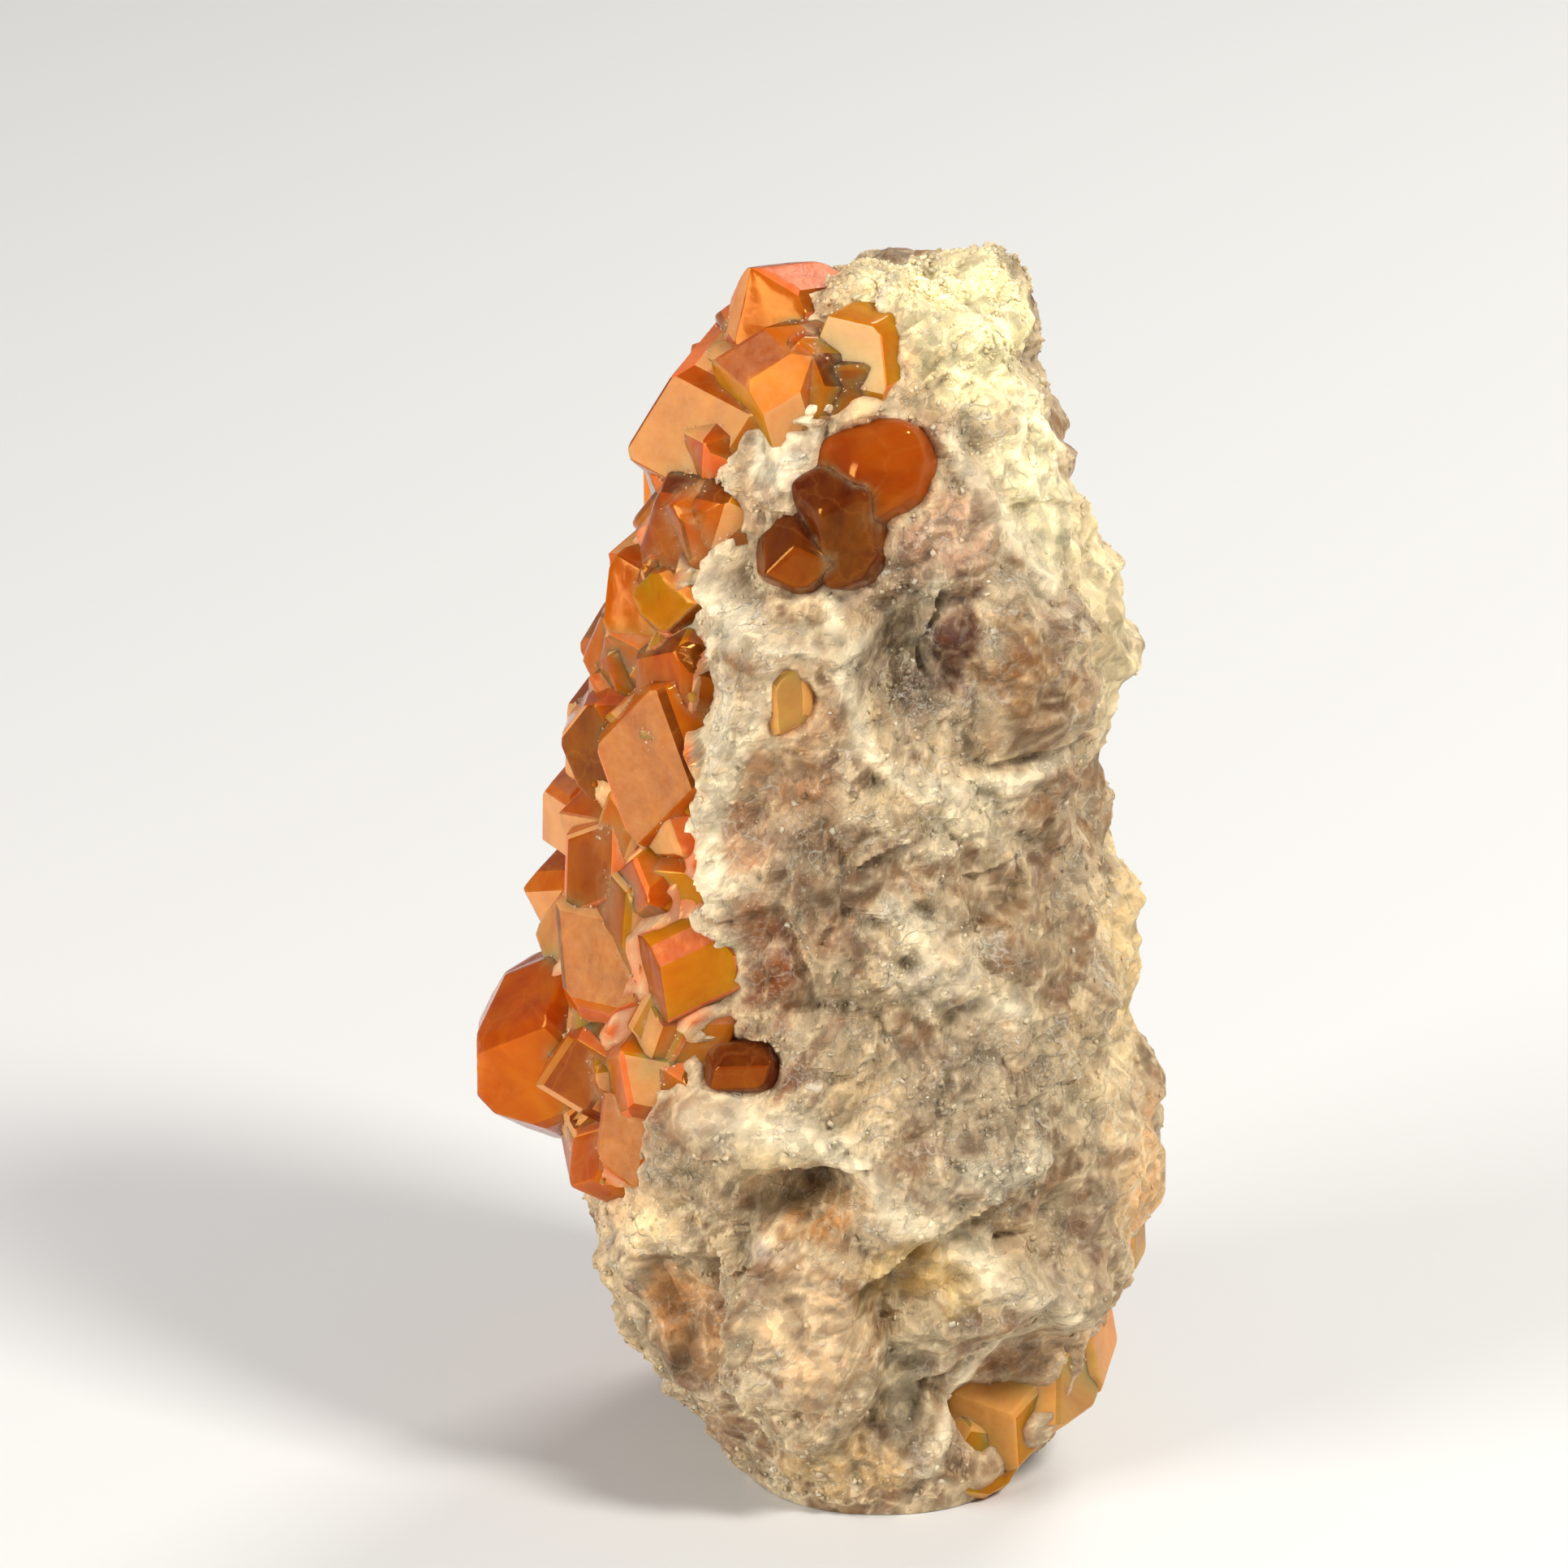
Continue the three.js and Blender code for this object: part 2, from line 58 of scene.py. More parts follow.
# Shape of the rock.
rockShape = {
    "height": 34.5,
    "rows": 370,  # grid lines up the sides
    "topRings": 20,  # grid rings over the top
    "columns": 430,  # grid lines round the rock
    "frontShare": 0.45,  # how much closer the grid lies on the front
    "crustSocket": 0.3,  # dip of the rock under the crust's crystals
    "singleSocket": 0.35,  # dip of the rock under the crystals set in it
    # cell size and seed of each blocky grain; mass is the one of the garnet between the crystals
    "grains": {
        "large": (2.9, 11), "small": (1.7, 37), "mass": (2.2, 151), "medium": (0.85, 53), "fine": (0.4, 59),
    },
    "largeRelief": 1.1,  # heights of the grains
    "smallRelief": 0.85,
    "mediumRelief": 0.62,
    "fineRelief": 0.45,
    "ripple": 0.06,  # height of the finest unevenness
    # height, left, right, front, back, squareness
    "sections": [
        [0.0, -2.4, 5.8, -6.9, 4.6, 2.3],
        [1.4, -3.8, 7.0, -7.3, 5.4, 2.4],
        [3.4, -5.2, 7.9, -7.6, 6.0, 2.5],
        [6.2, -6.2, 8.8, -7.9, 6.5, 2.6],
        [9.2, -6.8, 9.1, -8.0, 6.7, 2.6],
        [12.4, -6.9, 8.7, -8.0, 6.6, 2.6],
        [15.6, -6.4, 8.2, -7.8, 6.4, 2.6],
        [18.8, -5.9, 7.6, -7.4, 6.2, 2.6],
        [22.0, -5.5, 7.7, -6.9, 5.8, 2.6],
        [25.0, -4.9, 7.8, -6.4, 5.3, 2.6],
        [27.8, -3.9, 6.8, -5.8, 4.8, 2.5],
        [30.4, -2.9, 6.1, -4.9, 4.1, 2.4],
        [32.4, -1.2, 5.8, -4.0, 3.0, 2.3],
        [33.8, -0.1, 5.4, -3.1, 1.8, 2.2],
        [34.5, 1.2, 4.5, -2.1, 0.7, 2.0],
    ],
    # centre, reach, height, level share: swellings, hollows and flat-topped steps
    "lumps": [
        ([3.9, -3.2, 32.4], [2.6, 2.6, 2.0], 0.35, 0),
        ([5.6, -5.4, 23.7], [2.2, 2.4, 2.7], 0.75, 0),
        ([2.2, -6.4, 24.6], [2.0, 2.4, 3.2], -1.0, 0),
        ([0.9, -5.2, 28.4], [2.6, 2.4, 2.6], -0.6, 0),
        ([-0.9, -5.0, 29.9], [1.5, 2.0, 2.2], -0.5, 0),
        ([-1.7, -7.8, 13.4], [2.1, 2.0, 1.2], -0.55, 0),
        ([-0.4, -8.0, 9.7], [2.1, 2.2, 1.4], -1.2, 0),
        ([4.9, -6.9, 3.3], [3.0, 2.6, 2.4], -0.9, 0),
        ([4.4, -7.4, 12.0], [3.6, 2.6, 3.4], 0.35, 0),
        ([2.2, -7.6, 17.6], [3.0, 2.4, 3.0], 0.45, 0),
        ([6.6, -5.6, 17.4], [2.4, 2.4, 2.6], -0.35, 0),
        ([8.0, -1.0, 23.3], [1.7, 2.4, 1.3], 1.0, 0),
        ([8.0, -1.0, 16.8], [1.7, 2.2, 1.5], 0.75, 0),
        ([8.9, -1.4, 11.4], [1.6, 2.4, 1.5], 0.45, 0),
        ([9.2, -0.6, 7.4], [1.5, 2.4, 1.4], 0.45, 0),
        ([-4.4, -6.2, 7.6], [2.2, 2.4, 1.8], 0.4, 0),
        ([-0.4, -7.6, 5.2], [2.4, 3.0, 3.6], 0.9, 0.7),
        ([3.4, -7.6, 6.9], [3.0, 3.0, 1.5], 0.5, 0.6),
        ([5.0, -6.6, 20.6], [2.6, 3.0, 1.2], 0.4, 0.5),
    ],
    # centre, half sizes, height, level share, turn in degrees: crisp blocks and steps
    "breaks": [
        ([3.2, -7.9, 7.6], [2.9, 2.0, 0.95], -1.2, 0.7, 33),  # wedge set in under the crest
        ([-0.2, -7.9, 9.9], [1.8, 1.5, 0.7], -0.9, 0.7, 10),
        ([-0.6, -7.8, 5.9], [1.5, 2.2, 2.1], 0.55, 0.92, -12),  # cleavage block
        ([-0.9, -8.2, 4.7], [0.9, 1.6, 0.9], 0.3, 0.9, -30),
        ([0.3, -8.2, 6.9], [0.7, 1.6, 0.8], 0.25, 0.9, 20),
        ([-3.4, -7.0, 5.8], [0.9, 1.6, 2.2], -0.6, 0.75, 8),
        ([2.1, -7.7, 3.6], [0.8, 1.6, 2.0], -0.4, 0.75, -20),
        ([-2.0, -7.9, 8.2], [0.8, 1.5, 0.6], 0.35, 0.9, 25),
        ([5.8, -5.6, 23.7], [1.6, 2.4, 1.9], 0.4, 0.85, 12),  # smooth lens
        ([3.6, -6.2, 25.0], [0.5, 1.5, 1.5], -0.5, 0.7, -8),
        ([2.3, -6.4, 24.6], [1.1, 2.0, 1.9], -0.45, 0.7, 15),
        ([-1.1, -4.6, 29.8], [0.9, 1.8, 1.4], 0.35, 0.85, -15),
        ([5.3, -6.8, 3.9], [2.0, 2.0, 1.7], -0.6, 0.85, 35),
        ([-1.6, -7.8, 11.4], [1.5, 1.5, 0.7], 0.4, 0.7, -8),
        ([-2.2, -7.6, 13.4], [1.3, 1.5, 0.7], -0.3, 0.7, 5),
        ([-1.4, -7.4, 16.8], [0.8, 1.5, 1.2], -0.4, 0.75, 20),
        ([1.0, -7.6, 17.2], [0.9, 1.5, 0.8], -0.35, 0.75, -25),
        ([4.8, -7.0, 18.2], [1.0, 1.5, 0.7], -0.35, 0.8, 15),
        ([3.4, -7.6, 15.9], [1.1, 1.5, 1.0], 0.35, 0.7, 40),
        ([0.6, -7.9, 14.2], [1.0, 1.5, 0.8], 0.3, 0.85, -20),
        ([5.9, -7.0, 13.6], [0.9, 1.5, 1.2], 0.3, 0.85, 15),
        ([4.2, -7.9, 10.6], [1.2, 1.5, 0.8], 0.25, 0.85, -30),
        ([6.9, -6.2, 20.0], [0.8, 1.5, 1.1], 0.3, 0.85, 10),
        ([1.4, -7.2, 20.2], [1.1, 1.5, 0.8], 0.3, 0.85, 30),
        ([6.4, -4.0, 29.4], [1.0, 1.5, 1.4], 0.3, 0.85, -20),
    ],
    # points, half width, height: thin pale veins
    "veins": [
        ([[-3.4, -7.4, 12.2], [-0.2, -8.0, 11.7], [2.2, -7.9, 9.4], [6.7, -7.2, 6.2]], 0.42, 0.3),
        ([[-3.4, -5.6, 26.2], [-1.1, -6.2, 25.1], [0.7, -6.3, 24.9]], 0.25, 0.35),
        ([[-1.1, -6.2, 25.1], [-1.9, -6.5, 22.8], [-2.9, -6.6, 20.3]], 0.25, 0.35),
        ([[0.0, -5.7, 26.9], [0.6, -6.1, 24.7], [1.9, -6.0, 25.5], [3.0, -5.7, 26.4]], 0.2, 0.3),
        ([[0.6, -6.4, 24.6], [1.1, -6.8, 22.4], [2.6, -7.0, 21.0], [5.2, -6.6, 21.0], [6.5, -6.0, 21.7]],
         0.22, 0.3),
        ([[-3.1, -6.0, 22.4], [-2.9, -6.2, 21.0], [-3.1, -6.6, 17.9], [-3.3, -6.8, 15.7]], 0.25, 0.3),
        ([[1.9, -7.5, 18.0], [3.7, -7.5, 16.1], [5.4, -7.3, 15.0]], 0.25, 0.25),
        ([[6.8, -5.6, 6.0], [4.2, -7.0, 4.8], [2.9, -7.3, 1.5]], 0.22, 0.3),
        ([[-1.3, -7.6, 8.6], [-2.1, -7.5, 6.6], [-2.2, -7.3, 3.6]], 0.15, 0.2),
        ([[3.4, -4.6, 30.2], [5.0, -4.6, 27.8], [6.2, -4.6, 26.2]], 0.25, 0.25),
    ],
    "crustFill": 0.3,  # how far the garnet mass fills up between the crystals
    "crustFacets": 1.7,  # steepness of the mass's own faces
    "crustRims": 2.3,  # how wide the pale rims between its faces are
    "frontMargin": 0.5,  # room before the CAD model's foremost point in which the front is eased
    "frontSoftness": 0.8,
    "shrinkFrom": 30,  # height above which the top is shrunk
    # the sharp crests that some veins lie on: the vein's place in the list above, half width, height
    "crests": [(0, 0.9, 0.7), (1, 0.6, 0.5), (2, 0.6, 0.45), (7, 0.6, 0.5)],
}
grainSizes = {kind: size for kind, (size, _) in rockShape["grains"].items()}


# Chance value from 0 to 1: the fraction of a large sine of the three whole numbers and the seed.
def chance(x, y, z, seed):
    wave = np.sin(x * 127.1 + y * 311.7 + z * 74.7 + seed * 19.19) * 43758.5453
    return wave - np.floor(wave)


# Smooth step: 0 below low, 1 above high, 3t^2 - 2t^3 between.
def smoothStep(low, high, value):
    t = np.clip((value - low) / (high - low), 0, 1)
    return t * t * (3 - 2 * t)


def unit(vectors):
    return vectors / np.maximum(np.linalg.norm(vectors, axis=-1, keepdims=True), 1e-9)


# Rows of numbers between the table's rows, on a Catmull-Rom curve:
# start + t/2 (end - before + t (square + t cubic)).
def sectionAt(share):
    rows = np.array(rockShape["sections"])
    place = np.asarray(share, float) * (len(rows) - 1)
    index = np.minimum(np.floor(place).astype(int), len(rows) - 2)
    t = (place - index)[..., None]
    before, start, end, after = (rows[np.clip(index + k, 0, len(rows) - 1)] for k in (-1, 0, 1, 2))
    cubic = 3 * (start - end) + after - before
    square = 2 * before - 5 * start + 4 * end - after
    return start + 0.5 * t * (end - before + t * (square + t * cubic))


# Plain body: a superellipse round the middle of each section, reach = (|cos/a|^n + |sin/b|^n)^(-1/n).
def bodyPoint(share, angle, radius=1.0):
    height, left, right, front, back, squareness = np.moveaxis(sectionAt(share), -1, 0)
    across = np.abs(np.cos(angle) / ((right - left) / 2)) ** squareness
    deep = np.abs(np.sin(angle) / ((back - front) / 2)) ** squareness
    reach = (across + deep) ** (-1 / squareness) * radius
    x = (left + right) / 2 + np.cos(angle) * reach
    y = (front + back) / 2 + np.sin(angle) * reach
    return np.stack([x, y, height + 0 * reach], -1)


# Direction away from the body: level on the sides, rising over the top. flatten shrinks its level part.
def outward(share, angle, flatten=1.0):
    rise = smoothStep(0.82, 1, share) * 1.4 + 0 * angle
    return unit(np.stack([np.cos(angle) * flatten, np.sin(angle) * flatten, rise], -1))


# Where a height lies in the section table, by interpolating a fine table of heights.
def shareAtHeight(height):
    shares = np.linspace(0, 1, 4001)
    return np.interp(height, sectionAt(shares)[:, 0], shares)


# Blocky grain: in each cell of space a pyramid with flat sides at a chance turn, value = 0.22 + 0.35 draw -
# largest distance along its three axes, which is about 0 in the mean. Gives the highest value, its lead over
# the next one, and two chance values, one for the whole pyramid and one for the side of it.
def grain(points, kind):
    cellSize, seed = rockShape["grains"][kind]
    scaled = points / cellSize
    cell = np.floor(scaled)
    first = np.full(len(points), -9.0)
    second = np.full(len(points), -9.0)
    tint, side = np.zeros(len(points)), np.zeros(len(points))
    for i in range(27):
        x, y, z = (cell + (i % 3 - 1, i // 3 % 3 - 1, i // 9 - 1)).T
        draw = [chance(x, y, z, seed + k) for k in range(9)]
        away = scaled - np.stack([x + draw[1], y + draw[2], z + draw[3]], 1)
        axisA = unit(np.stack(draw[4:7], 1) - 0.5)
        axisB = unit(np.stack([-axisA[:, 1], axisA[:, 0], 0 * x], 1))
        axisC = np.cross(axisA, axisB)
        along = np.stack([(away * axis).sum(1) for axis in (axisA, axisB, axisC, -axisA, -axisB, -axisC)])
        value = 0.35 * draw[7] - along.max(0)
        second = np.maximum(second, np.minimum(value, first))
        tint = np.where(value > first, draw[8], tint)
        side = np.where(value > first, (draw[8] + 0.37 * along.argmax(0)) % 1, side)
        first = np.maximum(first, value)
    return first + 0.22, first - second, tint, side


# Soft cloud: chance values at the corners of a cell, blended smoothly between them.
def cloud(points, cellSize, seed):
    scaled = points / cellSize
    cell = np.floor(scaled)
    t = smoothStep(0, 1, scaled - cell)
    total = np.zeros(len(points))
    for corner in itertools.product((0, 1), repeat=3):
        weight = np.prod(np.where(np.array(corner) == 1, t, 1 - t), axis=1)
        total += weight * chance(*(cell + corner).T, seed)
    return total


# Share of an ellipsoid at a point: 1 inside the level part, falling to 0 at its reach.
def fallOff(points, at, reach, level):
    return 1 - smoothStep(level, 1, np.linalg.norm((points - at) / np.array(reach), axis=1))


# Share of a turned block at a point: 1 inside its level part, falling to 0 at its half sizes. The distance is
# the largest of the three sides' shares, after a turn about the y axis.
def blockShare(points, at, half, level, turn):
    away = points - at
    c, s = math.cos(math.radians(turn)), math.sin(math.radians(turn))
    away = np.stack([c * away[:, 0] + s * away[:, 2], away[:, 1], c * away[:, 2] - s * away[:, 0]], 1)
    return 1 - smoothStep(level, 1, np.abs(away / np.array(half)).max(1))


# Distance to a line through several points.
def lineDistance(points, along):
    nearest = np.full(len(points), 1e9)
    for start, end in zip(np.array(along[:-1]), np.array(along[1:])):
        step = end - start
        t = np.clip((points - start) @ step / (step @ step), 0, 1)
        nearest = np.minimum(nearest, np.linalg.norm(points - start - t[:, None] * step, axis=1))
    return nearest


# The same with depth counted little, so that a line stays on the surface where relief moves it.
def veinDistance(points, along):
    flat = np.array([1, 0.35, 1])
    return lineDistance(points * flat, np.array(along) * flat)


# One crystal as a dictionary. angle and height place the main face on the rock, proud lifts it, yaw and
# pitch turn it, turn spins the crystal, and tint is the main face's colour. What a row doesn't name follows
# the rule: the share of glassy faces, a tint for all other faces, the softness of the edges, and a stretch.
crystalColumns = ("angle", "height", "proud", "size", "yaw", "pitch", "turn", "tint")
crystalRule = {"clear": 0.4, "others": None, "round": 0.012, "stretch": (1, 1, 1)}


def garnet(*values, **others):
    return {**crystalRule, **dict(zip(crystalColumns, values)), **others}


# The crystals.
garnets = {
    # cells along half an edge of a face, for each group
    "cells": {
        "crust": 4, "filler": 2, "druse": 3, "edge": 4, "pocket": 6, "upper": 5, "lower": 5, "single": 4,
    },
    "spacing": 1.7,  # how much closer the cells lie at the edges
    "bevel": 0.19,  # deepest edge facet, as a share of the crystal's size
    "growth": (0.05, 0.03),  # height of the broad and the fine growth relief on the faces
    "crust": [
        garnet(205, 32.6, 0.7, 2.0, 40, 25, 20, "orange", clear=0.6),
        garnet(233, 31.5, 0.6, 1.7, 10, 5, 50, "vivid", clear=0.9),
        garnet(250, 31.6, 0.3, 1.3, 20, 10, 15, "deep", clear=0.9),
        garnet(249, 32.3, 0.35, 1.5, 10, 20, 75, "cream", others="amber", clear=0.7),
        garnet(182, 31.6, 0.1, 1.9, 20, 10, 5, "peach"),
        garnet(208, 29.9, 0.6, 2.6, 18, 12, 35, "peach", clear=0.5),
        garnet(186, 28.8, 0.2, 2.1, 5, -5, 70, "peach"),
        garnet(214, 27.2, 0.6, 2.1, 12, 5, 60, "brown", clear=0.9, round=0.12),
        garnet(204, 25.0, 0.5, 1.9, 30, 15, 10, "vivid", clear=0.9),
        garnet(183, 25.8, 0.1, 1.9, 15, 5, 30, "peach"),
        garnet(194, 23.4, 0.5, 1.8, 20, 5, 75, "orange", clear=0.7),
        garnet(216, 23.8, 0.3, 1.2, 15, 0, 20, "orange", clear=0.9),
        garnet(222, 21.4, 0.7, 2.6, 12, 5, 25, "rose", clear=0.6),
        garnet(203, 21.0, 0.9, 1.7, 25, 0, 85, "dark", clear=0.8),
        garnet(188, 20.6, 0.9, 1.8, 25, 0, 50, "peach", clear=0.5),
        garnet(182, 18.2, 1.3, 1.8, 20, -5, 15, "peach", clear=0.3),
        garnet(208, 18.2, 0.8, 2.0, 15, 10, 40, "brown", clear=0.7),
        garnet(230, 17.9, 0.3, 1.6, 10, 0, 5, "amber", clear=0.6),
        garnet(186, 15.4, 0.8, 1.9, 15, 12, 65, "amber", clear=0.6),
        garnet(212, 15.7, 0.8, 2.1, 20, 20, 5, "rose", clear=0.5),
        garnet(229, 14.4, 0.3, 1.3, 15, 5, 70, "amber", clear=0.9),
        garnet(196, 11.5, 1.2, 2.7, 48, -6, 28, "vivid", others="deep", clear=1),
        garnet(212, 12.4, 0.6, 1.7, 20, 0, 20, "brown", clear=0.8),
        garnet(222, 11.0, 0.4, 1.6, 15, 8, 55, "rose", clear=0.5),
        garnet(229, 12.6, 0.3, 1.3, 10, 0, 15, "deep", clear=0.9),
        garnet(194, 9.2, 0.3, 1.9, 0, -10, 20, "deep"),
        garnet(167, 10.6, 0.4, 2.2, 0, 0, 40, "orange"),
    ],
    "edge": [
        garnet(288, 0.8, -0.4, 1.5, 5, -10, 35, "honey", others="honey"),
        garnet(301, 1.3, -0.45, 1.6, 0, 5, 10, "amber", others="honey"),
        garnet(313, 2.2, -0.2, 1.6, 5, 0, 60, "amber", others="honey"),
        garnet(326, 3.0, 0.1, 1.6, 0, 10, 30, "honey", others="honey"),
        garnet(341, 3.8, 0.1, 1.7, 0, 10, 50, "peach", others="honey"),
    ],
    "pocket": [
        garnet(273, 29.6, 0.7, 1.7, 5, 12, 40, "deep", others="deep", clear=1, round=0.1),
        garnet(262, 28.0, 0.6, 1.35, 10, 0, 60, "dark", stretch=(0.85, 1, 1.35), others="dark", clear=1,
               round=0.04),
        garnet(251, 27.2, 0.55, 1.2, 15, 0, 10, "brown", others="dark", clear=1, round=0.04),
    ],
    "upper": [
        garnet(252, 23.6, 0.55, 0.95, 20, 8, 40, "honey", stretch=(0.8, 1, 1.4), others="honey",
               clear=0.3, round=0.1),
    ],
    "lower": [
        garnet(247, 13.3, 0.2, 0.95, 14, 4, 28, "brown", stretch=(1.25, 1, 0.85), others="dark",
               clear=1, round=0.03),
    ],
    "single": [
        garnet(344, 6.4, 0.2, 0.9, -5, 5, 45, "honey", others="peach"),
    ],
    # the crystals between: rows of heights, then steps of degrees backwards from the crust's rim
    "filler": dict(bottom=10.0, top=31.0, rows=12, across=5, step=12, size=1.2, sizeSpread=0.6, proud=0.25,
                   turnSpread=40, inset=5),
    # the rim of the crust on the rock, as height and angle, and its other end at the back
    "rim": [[2.6, 150], [8.0, 172], [9.6, 218], [12.0, 230], [14.5, 234], [18.0, 233], [22.0, 230],
            [25.5, 222], [27.5, 221], [29.0, 219], [30.6, 224], [31.4, 240], [33.6, 244]],
    "rimBack": 47,
    # the crystals of the back: rows of heights, then angles from right to left, drawn in near the foot
    "druse": dict(bottom=3.4, top=30.6, rows=8, left=172, right=52, across=5, size=2.1, sizeSpread=0.35,
                  proud=0.65, heightSpread=1.6, turnSpread=50, drawIn=30),
    # face colours on the screen's 0-255 scale; the pale peach, rose and cream are dull faces that partly
    # paint sheen
    "colours": {
        "vivid": (246, 90, 0), "orange": (230, 86, 0), "deep": (202, 60, 0), "dark": (88, 16, 0),
        "brown": (156, 50, 2), "amber": (238, 122, 2), "honey": (228, 160, 80), "peach": (226, 150, 90),
        "rose": (178, 100, 56), "cream": (232, 194, 140),
    },
    # frost of glassy and dull faces; in the material it also lays a painted sheen over them
    "frostAndSheen": (0.1, 0.8),  # of glassy faces and of dull ones
    # tints that are always dull: their pale colour is partly a painted sheen of reflected light
    "dullSheenTints": {"peach": 1, "rose": 0.85, "cream": 1},  # tints that are always dull, and their frost
    "seam": (0.6, 0.06),  # strength and width of the pale seams where crystals meet
    "clearPower": 0.74,  # power of a glassy face's colour
}
chanceTints = ["orange", "deep", "peach", "vivid", "brown", "amber", "deep", "dark"]


def pickTint(tints, value):
    return tints[int(len(tints) * value)]


# The twelve faces of the rhombic dodecahedron.
def dodecahedron():
    faces = []
    for sign, other in itertools.product((1, -1), repeat=2):
        faces += [(sign, other, 0), (sign, 0, other), (0, sign, other)]
    return unit(np.array(faces, float))


faceDirections = dodecahedron()
faceCount = len(faceDirections)
facesMeet = faceDirections @ faceDirections.T > 0.4
facePairs = np.array([pair for pair in itertools.combinations(range(faceCount), 2) if facesMeet[pair]])
planeCount = faceCount + len(facePairs)


# The back's crystals: a grid of places on the body, each moved, sized and turned by chance.
def druseCrystals():
    table = garnets["druse"]
    crystals = []
    for row, column in itertools.product(range(table["rows"]), range(table["across"])):
        draw = [chance(row, column, k, 7) for k in range(8)]
        rowShare = row / (table["rows"] - 1)
        drawnIn = table["drawIn"] * (1 - smoothStep(0.1, 0.35, rowShare))
        angleShare = (column + 0.5 * (row % 2) + 0.5 * (draw[2] - 0.5)) / table["across"]
        crystals.append(garnet(
            angle=table["right"] + (table["left"] - drawnIn - table["right"]) * angleShare,
            height=table["bottom"] + (table["top"] - table["bottom"]) * rowShare
            + table["heightSpread"] * (draw[1] - 0.5),
            proud=table["proud"],
            size=table["size"] + table["sizeSpread"] * (2 * draw[3] - 1) - 0.5 * smoothStep(0.8, 1, rowShare),
            yaw=table["turnSpread"] * (draw[4] - 0.5), pitch=table["turnSpread"] * (draw[5] - 0.5),
            turn=90 * draw[6], tint=pickTint(chanceTints, draw[7]),
        ))
    return crystals


# Crystals between the large ones of the crust, on a loose grid that starts at the crust's rim.
def fillerCrystals():
    table = garnets["filler"]
    heights, rims = np.array(garnets["rim"]).T
    crystals = []
    for row, column in itertools.product(range(table["rows"]), range(table["across"])):
        draw = [chance(row, column, k, 17) for k in range(8)]
        rowPlace = row + 0.6 * (draw[1] - 0.5)
        height = table["bottom"] + (table["top"] - table["bottom"]) * rowPlace / (table["rows"] - 1)
        crystals.append(garnet(
            angle=np.interp(height, heights, rims) - table["inset"]
            - table["step"] * (column + 0.5 * draw[2]),
            height=height, proud=table["proud"] + 0.3 * draw[0],
            size=table["size"] + table["sizeSpread"] * draw[3],
            yaw=table["turnSpread"] * (draw[4] - 0.5), pitch=table["turnSpread"] * (draw[5] - 0.5),
            turn=90 * draw[6], tint=pickTint(chanceTints, draw[7]), clear=0.6,
        ))
    return crystals


# A crystal's place: its main face stands on the body at angle and height, its middle lies size behind it.
def crystalLay(crystal):
    angle = math.radians(crystal["angle"])
    yaw, pitch = math.radians(crystal["angle"] + crystal["yaw"]), math.radians(crystal["pitch"])
    look = np.array([math.cos(yaw) * math.cos(pitch), math.sin(yaw) * math.cos(pitch), math.sin(pitch)])
    share = shareAtHeight(crystal["height"])
    face = bodyPoint(share, angle) + outward(share, np.float64(angle)) * crystal["proud"]
    return look, face - look * crystal["size"]


# Turn by an angle about an axis: I + sin K + (1 - cos) K^2.
def turnAbout(axis, sine, cosine):
    x, y, z = axis
    cross = np.array([[0, -z, y], [z, 0, -x], [-y, x, 0]])
    return np.eye(3) + sine * cross + (1 - cosine) * cross @ cross


# Planes of a crystal: twelve faces a little uneven, and an edge facet (2,1,1) cut off each of the 24 edges by
# a chance depth, less round the main face. An edge's distance along its facet is (d1 + d2) / |n1 + n2|.
def crystalPlanes(crystal, seed):
    look, middle = crystalLay(crystal)
    axis = np.cross(faceDirections[0], look)
    lay = turnAbout(unit(axis), np.linalg.norm(axis), faceDirections[0] @ look)
    turn = math.radians(crystal["turn"])
    normals = faceDirections @ (turnAbout(look, math.sin(turn), math.cos(turn)) @ lay).T
    k = np.arange(faceCount)
    uneven = np.where(k == 0, 1, 0.88 + 0.22 * chance(k, seed, 3, 5))
    distances = crystal["size"] * uneven * np.linalg.norm(normals * np.array(crystal["stretch"]), axis=1)
    between = normals[facePairs[:, 0]] + normals[facePairs[:, 1]]
    depth = crystal["size"] * garnets["bevel"] * (chance(np.arange(len(facePairs)), seed, 4, 9) - 0.1)
    depth = np.where(facePairs.min(1) == 0, 0.35 * depth, depth)
    length = np.linalg.norm(between, axis=1)
    edges = (distances[facePairs[:, 0]] + distances[facePairs[:, 1]]) / length - depth
    return middle, np.vstack([normals, between / length[:, None]]), np.concatenate([distances, edges])


planeTriples = np.array(list(itertools.combinations(range(planeCount), 3)))


# Corners of a body inside planes: where three planes meet and no other plane cuts the point off.
def planeCorners(normals, distances):
    sides = normals[planeTriples]
    good = np.abs(np.linalg.det(sides)) > 1e-3
    corners = np.linalg.solve(sides[good], distances[planeTriples[good]][..., None])[..., 0]
    corners = corners[(corners @ normals.T <= distances + 1e-7).all(1)]
    return np.unique(corners.round(6), axis=0)


# Order of a face's corners round its normal, counted from the first corner.
def roundOrder(corners, normal):
    spokes = corners - corners.mean(0)
    side = unit(spokes[0])
    return np.argsort(np.arctan2(spokes @ np.cross(normal, side), spokes @ side))


